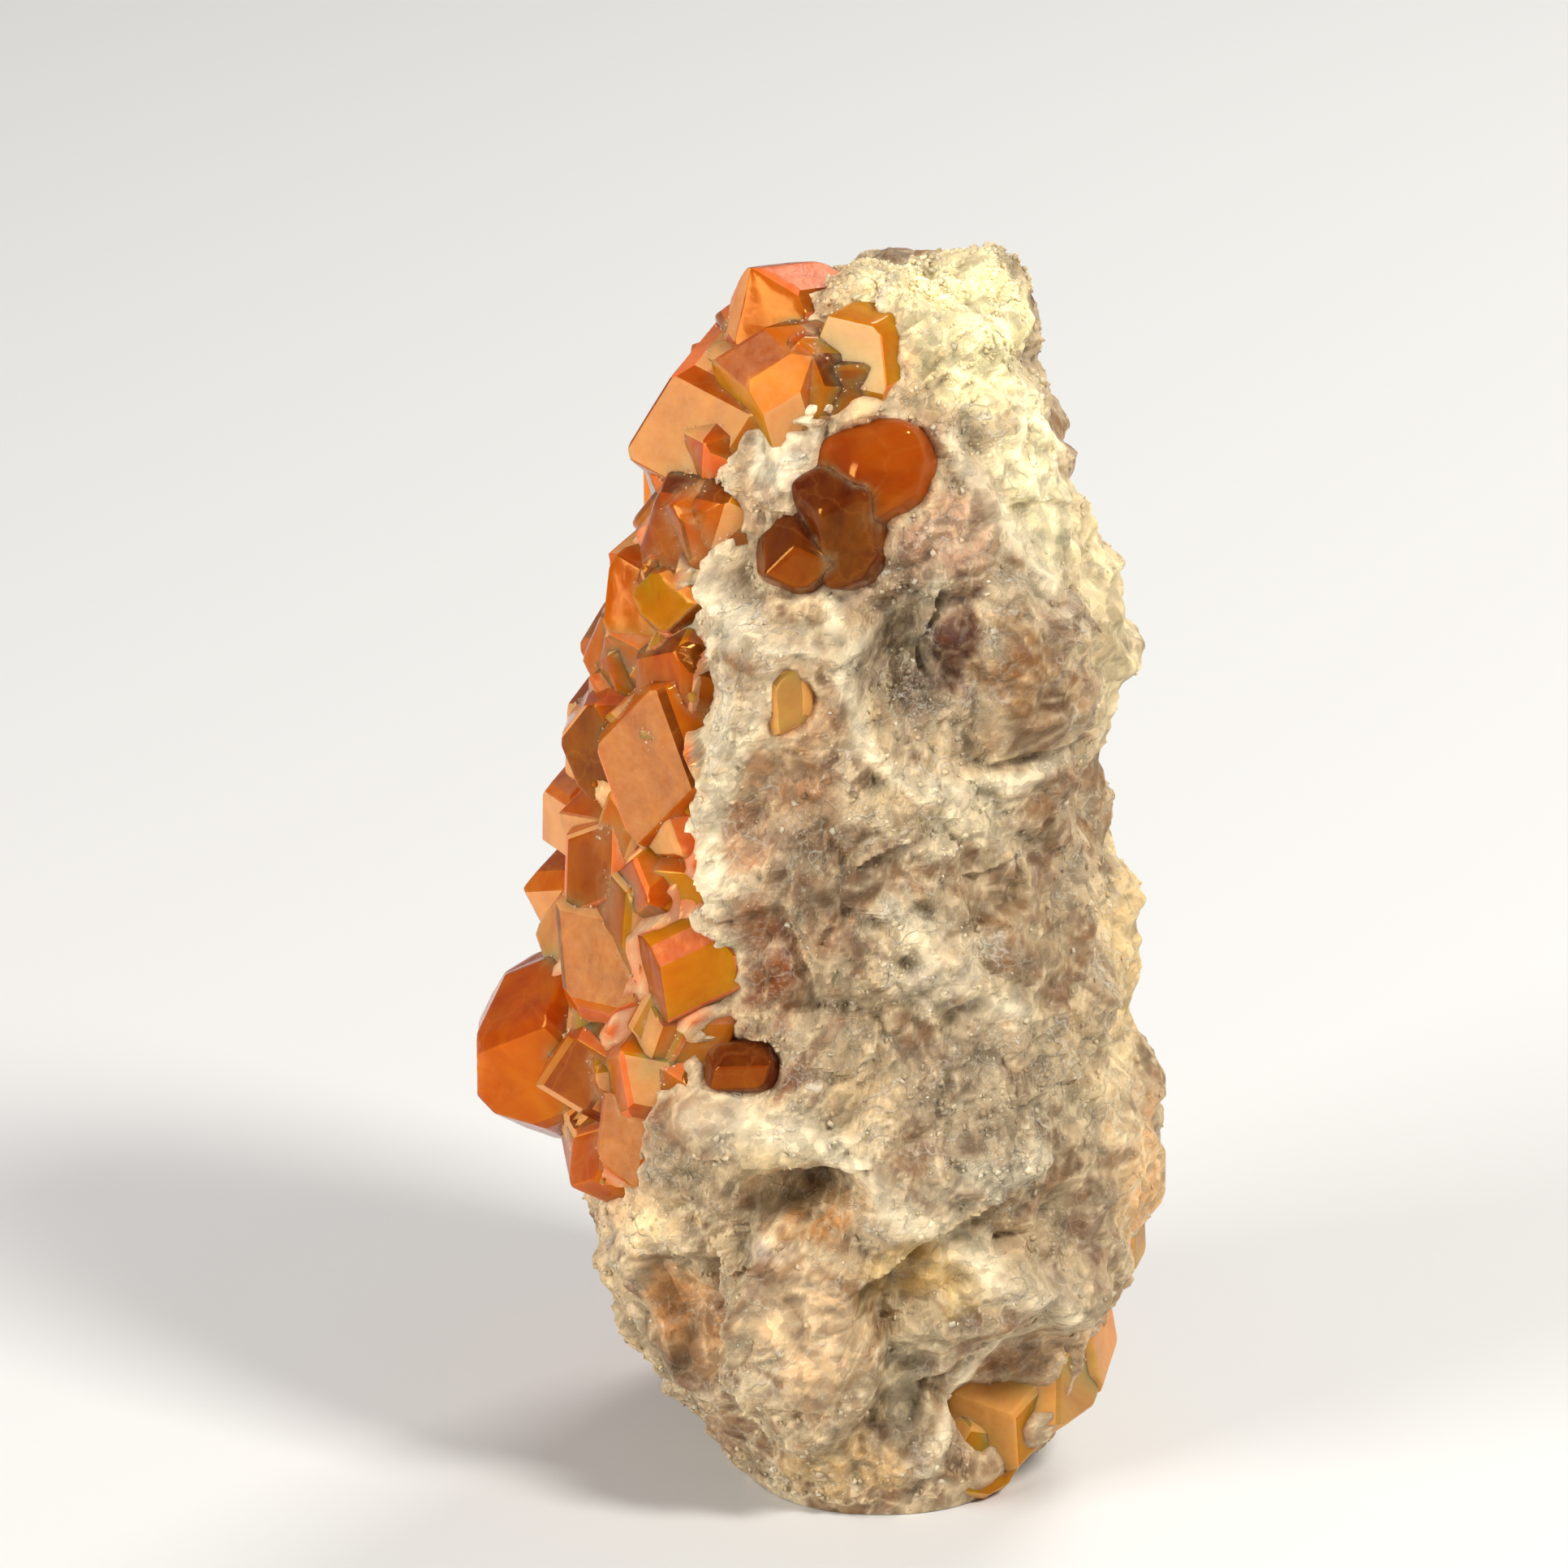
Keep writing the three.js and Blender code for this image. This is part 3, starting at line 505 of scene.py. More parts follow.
# One face as a patch of cells: each corner's quarter of the face is the blend of the corner, the two edge
# middles beside it and the face's centre, with cells closer together at the edges.
def facePatch(corners, normal, cells):
    centre = corners.mean(0)
    ring = corners[roundOrder(corners, normal)]
    after, before = (ring + np.roll(ring, -1, 0)) / 2, (ring + np.roll(ring, 1, 0)) / 2
    steps = (np.arange(cells + 1) / cells) ** garnets["spacing"]
    u, v = np.meshgrid(steps, steps, indexing="ij")
    u, v = u[None, ..., None], v[None, ..., None]
    patch = (
        (1 - u) * (1 - v) * ring[:, None, None] + u * (1 - v) * after[:, None, None]
        + (1 - u) * v * before[:, None, None] + u * v * centre
    )
    index = np.arange(len(ring) * (cells + 1) ** 2).reshape(len(ring), cells + 1, cells + 1)
    quads = np.stack([index[:, :-1, :-1], index[:, 1:, :-1], index[:, 1:, 1:], index[:, :-1, 1:]], -1)
    return patch.reshape(-1, 3), quads.reshape(-1, 4)


# One crystal: its face patches joined at their shared edges. Edges are softened by pulling each point
# towards the middle by r log(sum exp(-s/r)), with s its depths behind all planes. A low growth relief
# covers the faces.
def crystalMesh(crystal, seed, cells):
    middle, normals, distances = crystalPlanes(crystal, seed)
    corners = planeCorners(normals, distances)
    points, quads, owners = [], [], []
    count = 0
    for k, (normal, distance) in enumerate(zip(normals, distances)):
        onFace = corners[np.abs(corners @ normal - distance) < 1e-4]
        if len(onFace) < 3:
            continue
        patch, cellsOfFace = facePatch(onFace, normal, cells)
        points.append(patch)
        quads.append(cellsOfFace + count)
        owners.append(np.full(len(cellsOfFace), k))
        count += len(patch)
    points, quads, owners = np.vstack(points), np.vstack(quads), np.concatenate(owners)
    _, first, merged = np.unique(points.round(4), axis=0, return_index=True, return_inverse=True)
    points, quads = points[first], merged.ravel()[quads]
    depths = np.maximum(distances - points @ normals.T, 0)
    softness = crystal["round"] * (0.5 + cloud(points + middle, 0.7, 61))[:, None]
    pull = softness[:, 0] * np.log(np.exp(-depths / softness).sum(1))
    nextDepth = np.sort(depths, axis=1)[:, 1]
    broad, fine = garnets["growth"]
    growth = broad * (cloud(points + middle, 0.9, 67) - 0.5) + fine * (cloud(points + middle, 0.35, 71) - 0.5)
    growth = np.minimum(growth - 0.02, 0) * smoothStep(0.02, 0.4, nextDepth)
    points = points + unit(points) * (growth - pull)[:, None]
    return points + middle, quads, owners


# Colour and frost of every face of a crystal, by chance from the named tints; the frost also paints a sheen.
def faceFinish(crystal, seed):
    k = np.arange(planeCount)
    others = [crystal["others"]] if crystal["others"] else chanceTints
    tints = [pickTint(others, chance(face, seed, 5, 21)) for face in k]
    tints[0] = crystal["tint"]
    glassy, dull = garnets["frostAndSheen"]
    frostAndSheen = np.where(chance(k, seed, 6, 25) < crystal["clear"], glassy, dull)
    dullSheenTints = garnets["dullSheenTints"]
    frostAndSheen = np.array([dullSheenTints.get(tint, value) for tint, value in zip(tints, frostAndSheen)])
    frostAndSheen[0] = dullSheenTints.get(crystal["tint"], glassy)
    colours = linear([garnets["colours"][tint] for tint in tints])
    # light passes a glassy face on its way in and out, so its own colour is paler than the one seen
    return np.where(frostAndSheen[:, None] > 0.5, colours, colours ** garnets["clearPower"]), frostAndSheen


# From the screen's 0-255 scale to linear light: c^2.2.
def linear(colour):
    return (np.array(colour, float) / 255) ** 2.2


# Each group's crystals with their seeds.
crystalLists = {"crust": garnets["crust"], "druse": druseCrystals()}
crystalLists.update({name: garnets[name] for name in ("edge", "pocket", "upper", "lower", "single")})
crystalLists["filler"] = fillerCrystals()
firstSeeds = {"druse": len(garnets["crust"]), "filler": 100}
crystalGroups = {
    name: [(crystal, i + firstSeeds.get(name, 0)) for i, crystal in enumerate(crystals)]
    for name, crystals in crystalLists.items()
}
allCrystals = [entry for group in crystalGroups.values() for entry in group]
allPlanes = [crystalPlanes(crystal, seed) for crystal, seed in allCrystals]
allSizes = np.array([crystal["size"] for crystal, _ in allCrystals])


# Distance from each point to the nearest crystal's planes, under 0 inside it. Crystals further away than 2.2
# of their size are left out. skip is the crystal that a point belongs to.
def crystalDistance(points, skip=None):
    nearest = np.full(len(points), 9.0)
    for i, (middle, normals, distances) in enumerate(allPlanes):
        close = np.linalg.norm(points - middle, axis=1) < 2.2 * allSizes[i]
        if skip is not None:
            close &= skip != i
        away = ((points[close] - middle) @ normals.T - distances).max(1) if close.any() else []
        nearest[close] = np.minimum(nearest[close], away)
    return nearest


# Depth of the crystals' sockets at a point: full under a crystal's middle, 0 past its rim.
def socketDepth(points):
    depth = np.zeros(len(points))
    for group, entries in crystalGroups.items():
        deepest = rockShape["singleSocket" if group in ("pocket", "upper", "lower") else "crustSocket"]
        for crystal, _ in entries:
            away = np.linalg.norm(points - crystalLay(crystal)[1], axis=1) / crystal["size"]
            depth = np.maximum(depth, deepest * (1 - smoothStep(0.7, 1.2, away)))
    return depth


# Share of the crust at a rock point: 1 between the crust's rim and its far end at the back, with a ragged
# edge that steps with the chance values of the garnet mass's blocks. The second value is the pale web beside
# that edge: exp(-((degrees past the rim - 4) / 6)^2).
def crustShare(points, blocks):
    _, left, right, front, back, _ = np.moveaxis(sectionAt(shareAtHeight(points[:, 2])), -1, 0)
    angle = np.degrees(np.arctan2(points[:, 1] - (front + back) / 2, points[:, 0] - (left + right) / 2)) % 360
    heights, rims = np.array(garnets["rim"]).T
    ragged = 10 * (cloud(points, 1.2, 137) - 0.5) + 14 * (blocks - 0.5)
    beyond = angle - np.interp(points[:, 2], heights, rims) + ragged
    inFront = 1 - smoothStep(-1.2, 1.2, beyond)
    web = np.exp(-((beyond - 4) / 6) ** 2) * smoothStep(15.5, 17.5, points[:, 2])
    web = web * smoothStep(0.25, 0.4, cloud(points, 1.6, 149))
    upright = smoothStep(2.2, 3.4, points[:, 2]) * (1 - smoothStep(32.2, 33.2, points[:, 2] + 0.05 * ragged))
    return inFront * smoothStep(-4, 4, angle - garnets["rimBack"] + ragged) * upright, web


# Large relief: lumps + crests + veins + turned blocks + two sizes of blocky grain - sockets, faded out
# towards the foot. In the crust the garnet mass's own grain stands for the rock's. Gives the height and what
# the colours need of the grains.
def relief(points):
    swell = sum(height * fallOff(points, at, reach, level) for at, reach, height, level in rockShape["lumps"])
    for number, width, height in rockShape["crests"]:
        along = rockShape["veins"][number][0]
        swell = swell + height * np.maximum(0, 1 - lineDistance(points, along) / (2 * width))
    ragged = 0.35 * (cloud(points, 0.8, 139) - 0.5)
    for along, width, height in rockShape["veins"]:
        swell = swell + height * np.maximum(0, 1 - np.abs(veinDistance(points, along) + ragged) / (2 * width))
    large, largeLead, largeTint, largeSide = grain(points, "large")
    small, smallLead, smallTint, smallSide = grain(points, "small")
    mass, massLead, massTint, massSide = grain(points, "mass")
    crust, web = crustShare(points, massTint)
    bent = points + 0.3 * np.stack([cloud(points, 0.9, seed) - 0.5 for seed in (163, 167, 173)], 1)
    breaks = sum(
        height * blockShare(bent, at, half, level, turn)
        for at, half, height, level, turn in rockShape["breaks"]
    )
    rough = breaks + rockShape["largeRelief"] * large + rockShape["smallRelief"] * small + 0.3 * web
    faceted = rockShape["crustFill"] + rockShape["crustFacets"] * mass
    total = swell + rough + crust * (faceted - rough) - socketDepth(points)
    lead = np.minimum(largeLead * grainSizes["large"], smallLead * grainSizes["small"])
    lead = np.where(crust > 0.5, massLead * rockShape["crustRims"], lead)
    return total * smoothStep(0, 2.4, points[:, 2]), dict(
        lead=lead, large=0.5 * (largeTint + largeSide), small=0.5 * (smallTint + smallSide),
        mass=massSide, crust=crust, web=web,
    )


# Colours of the rock, on the screen's 0-255 scale.
rockPatches = {
    # shades of the grains from chance value 0 to 1
    "base": [(0.0, (138, 102, 66)), (0.3, (166, 130, 92)), (0.5, (154, 124, 96)), (0.75, (190, 160, 120)),
             (1.0, (178, 128, 76))],
    # tints of the garnet mass's own faces, by chance; the peach and rose faces partly paint sheen
    "mass": ["orange", "brown", "deep", "amber", "rose", "orange",
             "deep", "vivid", "brown", "orange", "peach", "dark"],
    "rim": (238, 222, 186),  # pale rims between grains
    "crest": (238, 224, 194),  # the white crests
    # orange beside the garnets: a stain together with a painted glow of the garnets' light on the rock
    "stainAndGlow": (206, 132, 74),  # beside the garnets
    # centre, reach, colour, strength, roughness of the grain there
    "places": [
        ([3.6, -3.2, 33.0], [4.2, 4.5, 3.0], (252, 238, 190), 1.0, 1.1),  # cream cap
        ([6.0, -3.2, 28.6], [2.4, 3.6, 3.6], (248, 236, 196), 0.9, 0.9),  # right of the pocket
        ([1.2, -4.0, 32.0], [1.6, 2.0, 1.5], (242, 206, 158), 0.85, 0.6),
        ([-1.1, -4.5, 29.9], [1.1, 2.0, 2.1], (226, 222, 200), 0.95, 0.6),  # white patch
        ([0.6, -5.2, 27.0], [1.6, 1.6, 1.3], (206, 190, 176), 0.8, 0.9),
        ([3.3, -5.3, 27.6], [1.6, 2.0, 1.5], (190, 152, 124), 0.8, 0.7),
        ([2.4, -6.4, 24.8], [1.7, 2.2, 2.9], (136, 114, 96), 0.95, 1.1),  # grey-brown recess
        ([3.6, -6.2, 25.0], [0.8, 1.8, 1.9], (110, 60, 28), 1.0, 0.3),  # brown strip
        ([5.8, -5.6, 23.9], [2.0, 2.6, 2.4], (150, 106, 58), 0.97, 0.2),  # smooth lens
        ([4.6, -6.0, 23.0], [0.9, 1.6, 1.6], (200, 170, 132), 0.6, 0.2),
        ([-2.4, -5.6, 25.5], [1.5, 1.6, 1.6], (210, 196, 170), 0.9, 1.2),  # white web
        ([-0.9, -6.1, 25.2], [1.2, 1.6, 0.8], (228, 216, 192), 0.85, 1.2),
        ([-2.7, -6.0, 22.7], [1.2, 1.8, 2.4], (222, 214, 190), 0.8, 1.2),
        ([-0.6, -6.6, 21.9], [1.4, 1.8, 1.8], (180, 136, 94), 0.8, 0.7),
        ([-1.9, -6.8, 19.8], [1.1, 1.6, 1.6], (196, 132, 84), 0.7, 0.8),
        ([-3.3, -6.0, 17.6], [0.7, 1.6, 2.6], (222, 214, 184), 0.8, 1.1),
        ([-1.3, -7.5, 16.8], [1.3, 1.8, 2.1], (142, 84, 32), 0.95, 0.5),  # orange stains
        ([0.6, -7.5, 17.4], [1.1, 1.6, 1.2], (166, 124, 92), 0.7, 0.8),
        ([4.0, -7.0, 19.8], [2.2, 1.8, 0.9], (230, 214, 184), 0.8, 1.3),  # frosty patches
        ([3.2, -7.6, 16.0], [1.4, 1.6, 1.5], (224, 210, 184), 0.75, 1.4),
        ([4.7, -7.0, 18.2], [1.2, 1.6, 0.9], (170, 138, 98), 0.8, 0.5),
        ([0.4, -7.6, 19.4], [2.4, 1.8, 1.8], (134, 102, 70), 0.92, 0.7),
        ([4.6, -7.7, 12.4], [2.9, 2.4, 2.2], (166, 146, 120), 0.75, 1.3),  # sparkling face
        ([4.6, -7.6, 10.2], [2.6, 2.0, 1.1], (206, 200, 180), 0.5, 1.5),
        ([0.9, -8.0, 12.6], [1.6, 1.6, 1.3], (190, 162, 122), 0.6, 0.8),
        # painted shade: dark brown in the hollow of the low single crystal
        ([-1.8, -7.7, 13.3], [1.7, 1.6, 0.8], (128, 76, 44), 0.85, 0.6),  # hollow of the low single crystal
        ([-3.6, -7.0, 12.6], [1.1, 1.6, 1.4], (170, 112, 72), 0.7, 0.8),
        ([-1.6, -7.8, 11.3], [1.7, 1.6, 1.0], (216, 192, 148), 0.85, 0.6),  # rounded bulge under it
        ([-0.2, -7.9, 9.7], [1.9, 2.0, 1.1], (190, 138, 82), 0.9, 0.5),  # hollow over the block
        ([2.9, -7.9, 7.5], [2.7, 2.2, 1.3], (200, 168, 108), 0.9, 0.3),  # olive-brown wedge
        ([-0.2, -7.8, 5.6], [2.1, 2.4, 3.0], (226, 192, 150), 0.9, 0.4),  # pale cleavage block
        ([-1.2, -7.8, 8.1], [0.9, 1.6, 0.8], (206, 184, 168), 0.8, 0.3),
        ([2.3, -7.6, 4.2], [1.1, 1.8, 2.8], (214, 200, 168), 0.7, 0.9),
        ([5.4, -6.8, 3.9], [2.4, 2.2, 2.0], (170, 130, 90), 0.85, 0.5),  # recessed brown face
        ([0.5, -7.2, 1.6], [2.8, 2.0, 1.4], (202, 170, 120), 0.8, 0.8),
        ([-3.7, -6.7, 5.6], [1.4, 2.0, 1.8], (204, 150, 94), 0.8, 0.5),  # lower left flank
        ([-4.8, -6.2, 8.4], [1.7, 2.2, 1.9], (234, 208, 164), 0.85, 1.0),
        ([-5.2, -5.6, 11.6], [1.4, 2.2, 1.8], (184, 130, 108), 0.8, 0.8),
        ([-5.4, -4.0, 7.4], [1.6, 2.4, 2.2], (206, 184, 148), 0.7, 0.9),
        ([7.9, -1.2, 24.5], [2.0, 4.5, 5.0], (228, 210, 168), 0.8, 0.7),  # nodules on the right
        ([8.4, -1.6, 15.0], [2.0, 4.0, 4.5], (222, 196, 148), 0.75, 0.7),
        ([8.8, -3.4, 9.0], [1.4, 3.0, 3.0], (220, 176, 124), 0.75, 0.6),
    ],
}


# Colour of each rock point and how rough its grain is: the grains' own shades, then each place's patch with
# a ragged rim, the garnet mass, pale rims between grains, white crests, and the orange stain with painted
# garnet glow and the pale seam beside the crystals. Over the rock, 1.18 colour^1.24 mean^0.25 takes dark
# tones deeper, as light is lost inside the stone, and painted shade darkens the fine hollows.
def rockColour(points, grains, fine, garnetAway):
    lead, crust, smallTint = grains["lead"], grains["crust"], grains["small"]
    stops, shades = zip(*rockPatches["base"])
    shades = linear(shades)
    shade = np.clip(0.4 * grains["large"] + 0.6 * smallTint + 0.25 * (cloud(points, 4.0, 83) - 0.5), 0, 1)
    colour = np.stack([np.interp(shade, stops, shades[:, k]) for k in range(3)], 1)
    ragged = [cloud(points, 1.1, seed) + 0.5 * cloud(points, 0.4, seed + 3) - 0.75 for seed in (91, 97, 101)]
    ragged = np.stack(ragged, 1)
    moved = points + 1.3 * ragged
    sugary = smoothStep(0.3, 0.5, smallTint + 0.5 * (cloud(points, 0.8, 89) - 0.5))
    rough = 0.35 + 0.75 * sugary
    colour = colour + (0.35 * sugary)[:, None] * (linear(rockPatches["rim"]) - colour)
    for at, reach, tint, strength, roughness in rockPatches["places"]:
        share = (fallOff(moved, at, reach, 0.45) * strength)[:, None]
        varied = linear(tint) * (0.6 + 0.55 * smallTint + 0.2 * sugary)[:, None]
        colour = colour + share * (varied - colour)
        rough = rough + share[:, 0] * (roughness * (0.6 + 0.5 * sugary) - rough)
    mass = linear([garnets["colours"][tint] for tint in rockPatches["mass"]])
    mass = mass[np.minimum((len(mass) * grains["mass"]).astype(int), len(mass) - 1)]
    colour = colour + crust[:, None] * (mass - colour)
    rough = rough + crust * (0.12 - rough)
    rims = np.exp(-lead / 0.07) * (0.25 + 0.6 * cloud(points, 2.3, 107)) * (1 - 0.6 * crust)
    web = grains["web"] * (0.35 + 0.75 * cloud(points, 0.7, 157)) * (1 - crust)
    wavy = points + 0.35 * ragged
    crests = sum(
        np.exp(-((veinDistance(wavy, along) / (1.3 * width)) ** 2)) for along, width, _ in rockShape["veins"]
    )
    crests = np.clip(1.2 * crests, 0, 1) * (0.6 + 0.4 * cloud(points, 0.4, 109)) * (1 - crust)
    # orange stain with a painted glow of the garnets, fading within half a millimetre of the crystals
    stainAndGlow = 0.35 * np.exp(-np.maximum(garnetAway, 0) / 0.5) * (0.4 + 0.6 * cloud(points, 0.9, 113))
    stainAndGlow = stainAndGlow * (1 - crust)
    seam = 0.75 * np.exp(-((garnetAway - 0.12) / 0.14) ** 2) * (0.3 + 0.7 * cloud(points, 0.6, 127))
    for share, tint in ((rims, "rim"), (stainAndGlow, "stainAndGlow"), (crests, "crest"), (web, "crest"), (seam, "rim")):
        colour = colour + share[:, None] * (linear(rockPatches[tint]) - colour)
    # painted shade: the fine hollows of the rock are made darker
    hollowShade = 0.66 + 0.4 * smoothStep(-0.35, 0.12, fine)  # darker in the fine hollows
    deeperWithHollowShade = 1.18 * colour.mean(1) ** 0.25 * hollowShade
    return np.where(crust[:, None] > 0.5, colour, colour ** 1.24 * deeperWithHollowShade[:, None]), rough


# A mesh object from whole arrays: points in millimetres and sets of faces with the same number of corners.
def makePiece(name, points, faceSets, materials, nodes, faceMaterials=None):
    mesh = bpy.data.meshes.new(name)
    corners = np.concatenate([faces.ravel() for faces in faceSets])
    totals = np.concatenate([np.full(len(faces), faces.shape[1]) for faces in faceSets])
    mesh.vertices.add(len(points))
    mesh.vertices.foreach_set("co", (points * mm).astype(np.float32).ravel())
    mesh.loops.add(len(corners))
    mesh.loops.foreach_set("vertex_index", corners.astype(np.int32))
    mesh.polygons.add(len(totals))
    mesh.polygons.foreach_set("loop_start", (np.cumsum(totals) - totals).astype(np.int32))
    for material in materials:
        mesh.materials.append(material)
    mesh.update(calc_edges=True)
    if faceMaterials is not None:
        mesh.polygons.foreach_set("material_index", faceMaterials.astype(np.int32))
    mesh.polygons.foreach_set("use_smooth", np.ones(len(totals), bool))
    piece = bpy.data.objects.new(name, mesh)
    bpy.context.scene.collection.objects.link(piece)
    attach(piece, "root")
    if nodes:
        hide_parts(*nodes)
    print(name, "has", int((totals - 2).sum()), "triangles")
    return piece


def addColour(piece, name, colours, domain="POINT"):
    layer = piece.data.attributes.new(name, "FLOAT_COLOR", domain)
    opaque = np.hstack([colours, np.ones((len(colours), 1))])
    layer.data.foreach_set("color", opaque.astype(np.float32).ravel())


def addValue(piece, name, values, domain="POINT"):
    layer = piece.data.attributes.new(name, "FLOAT", domain)
    layer.data.foreach_set("value", values.astype(np.float32))


# Materials.
def addNode(tree, kind, inputs=None, **settings):
    node = tree.nodes.new(kind)
    for key, value in settings.items():
        setattr(node, key, value)
    for key, value in (inputs or {}).items():
        if isinstance(value, bpy.types.NodeSocket):
            tree.links.new(value, node.inputs[key])
        else:
            node.inputs[key].default_value = value
    return node


def mixColours(tree, share, first, second, blend="MIX"):
    node = addNode(tree, "ShaderNodeMix", {0: share, 6: first, 7: second}, data_type="RGBA", blend_type=blend)
    return node.outputs[2]


def mathNode(tree, operation, first, second):
    return addNode(tree, "ShaderNodeMath", {0: first, 1: second}, operation=operation).outputs[0]


def plus(tree, first, second):
    return mathNode(tree, "ADD", first, second)


def times(tree, first, second):
    return mathNode(tree, "MULTIPLY", first, second)


def rangeNode(tree, value, low, high, outLow, outHigh):
    inputs = {"Value": value, "From Min": low, "From Max": high, "To Min": outLow, "To Max": outHigh}
    return addNode(tree, "ShaderNodeMapRange", inputs).outputs[0]


def noiseNode(tree, place, scale, detail, roughness=0.5, distortion=0.0):
    inputs = {"Vector": place, "Scale": scale, "Detail": detail, "Roughness": roughness}
    return addNode(tree, "ShaderNodeTexNoise", {**inputs, "Distortion": distortion})


# A place moved by a noise's colour times a length in metres.
def bendPlace(tree, place, noise, length):
    inputs = {0: noise.outputs["Color"], 1: (length, length, length)}
    shift = addNode(tree, "ShaderNodeVectorMath", inputs, operation="MULTIPLY")
    return addNode(tree, "ShaderNodeVectorMath", {0: place, 1: shift.outputs[0]}, operation="ADD").outputs[0]


# Thin lines where the cells of a Voronoi pattern meet, fading out at width.
def crackLines(tree, place, scale, width, strength):
    inputs = {"Vector": place, "Scale": scale}
    cells = addNode(tree, "ShaderNodeTexVoronoi", inputs, feature="DISTANCE_TO_EDGE")
    return rangeNode(tree, cells.outputs[0], 0.0, width, strength, 0.0)


def startGroup(name, inputs, outputs):
    tree = bpy.data.node_groups.new(name, "ShaderNodeTree")
    for socketName, kind, value in inputs:
        socket = tree.interface.new_socket(socketName, in_out="INPUT", socket_type=kind)
        socket.default_value = value
    for socketName, kind in outputs:
        tree.interface.new_socket(socketName, in_out="OUTPUT", socket_type=kind)
    return tree, tree.nodes.new("NodeGroupInput").outputs, tree.nodes.new("NodeGroupOutput").inputs


# Mineral grain: fine crystalline cells that shift a colour's shade, pale specks and cracks, and a height.
def makeMineralGrain():
    tree, given, result = startGroup(
        "mineralGrain",
        [("Colour", "NodeSocketColor", (0.6, 0.45, 0.3, 1)), ("Cells per metre", "NodeSocketFloat", 3500.0),
         ("Shade spread", "NodeSocketFloat", 0.3), ("Specks", "NodeSocketFloat", 0.4)],
        [("Colour", "NodeSocketColor"), ("Height", "NodeSocketFloat")],
    )
    place = addNode(tree, "ShaderNodeTexCoord").outputs["Object"]
    moved = bendPlace(tree, place, noiseNode(tree, place, 1500.0, 3.0), 0.0006)
    cells = addNode(tree, "ShaderNodeTexVoronoi", {"Vector": moved, "Scale": given["Cells per metre"]})
    shade = addNode(tree, "ShaderNodeSeparateColor", {0: cells.outputs["Color"]}).outputs[0]
    low = mathNode(tree, "SUBTRACT", 1.0, given["Shade spread"])
    high = plus(tree, 1.0, times(tree, given["Shade spread"], 0.6))
    level = rangeNode(tree, shade, 0.0, 1.0, low, high)
    grey = addNode(tree, "ShaderNodeCombineColor", {0: level, 1: level, 2: level}).outputs[0]
    shaded = mixColours(tree, 1.0, given["Colour"], grey, "MULTIPLY")
    dust = noiseNode(tree, place, 9000.0, 4.0, 0.7).outputs[0]
    broad = noiseNode(tree, place, 700.0, 3.0)
    speck = rangeNode(tree, plus(tree, dust, times(tree, broad.outputs[0], 0.35)), 0.72, 0.86, 0.0, 1.0)
    pale = mixColours(tree, times(tree, speck, given["Specks"]), shaded, (0.82, 0.76, 0.62, 1))
    crack = crackLines(tree, bendPlace(tree, moved, broad, 0.0022), 850.0, 0.035, 1.0)
    crack = times(tree, crack, rangeNode(tree, broad.outputs[0], 0.42, 0.62, 0.0, 1.6))
    crack = times(tree, crack, given["Specks"])
    pale = mixColours(tree, crack, pale, (0.84, 0.76, 0.62, 1))
    height = plus(tree, times(tree, shade, 0.5), times(tree, dust, 0.7))
    tree.links.new(pale, result["Colour"])
    tree.links.new(plus(tree, height, crack), result["Height"])
    return tree


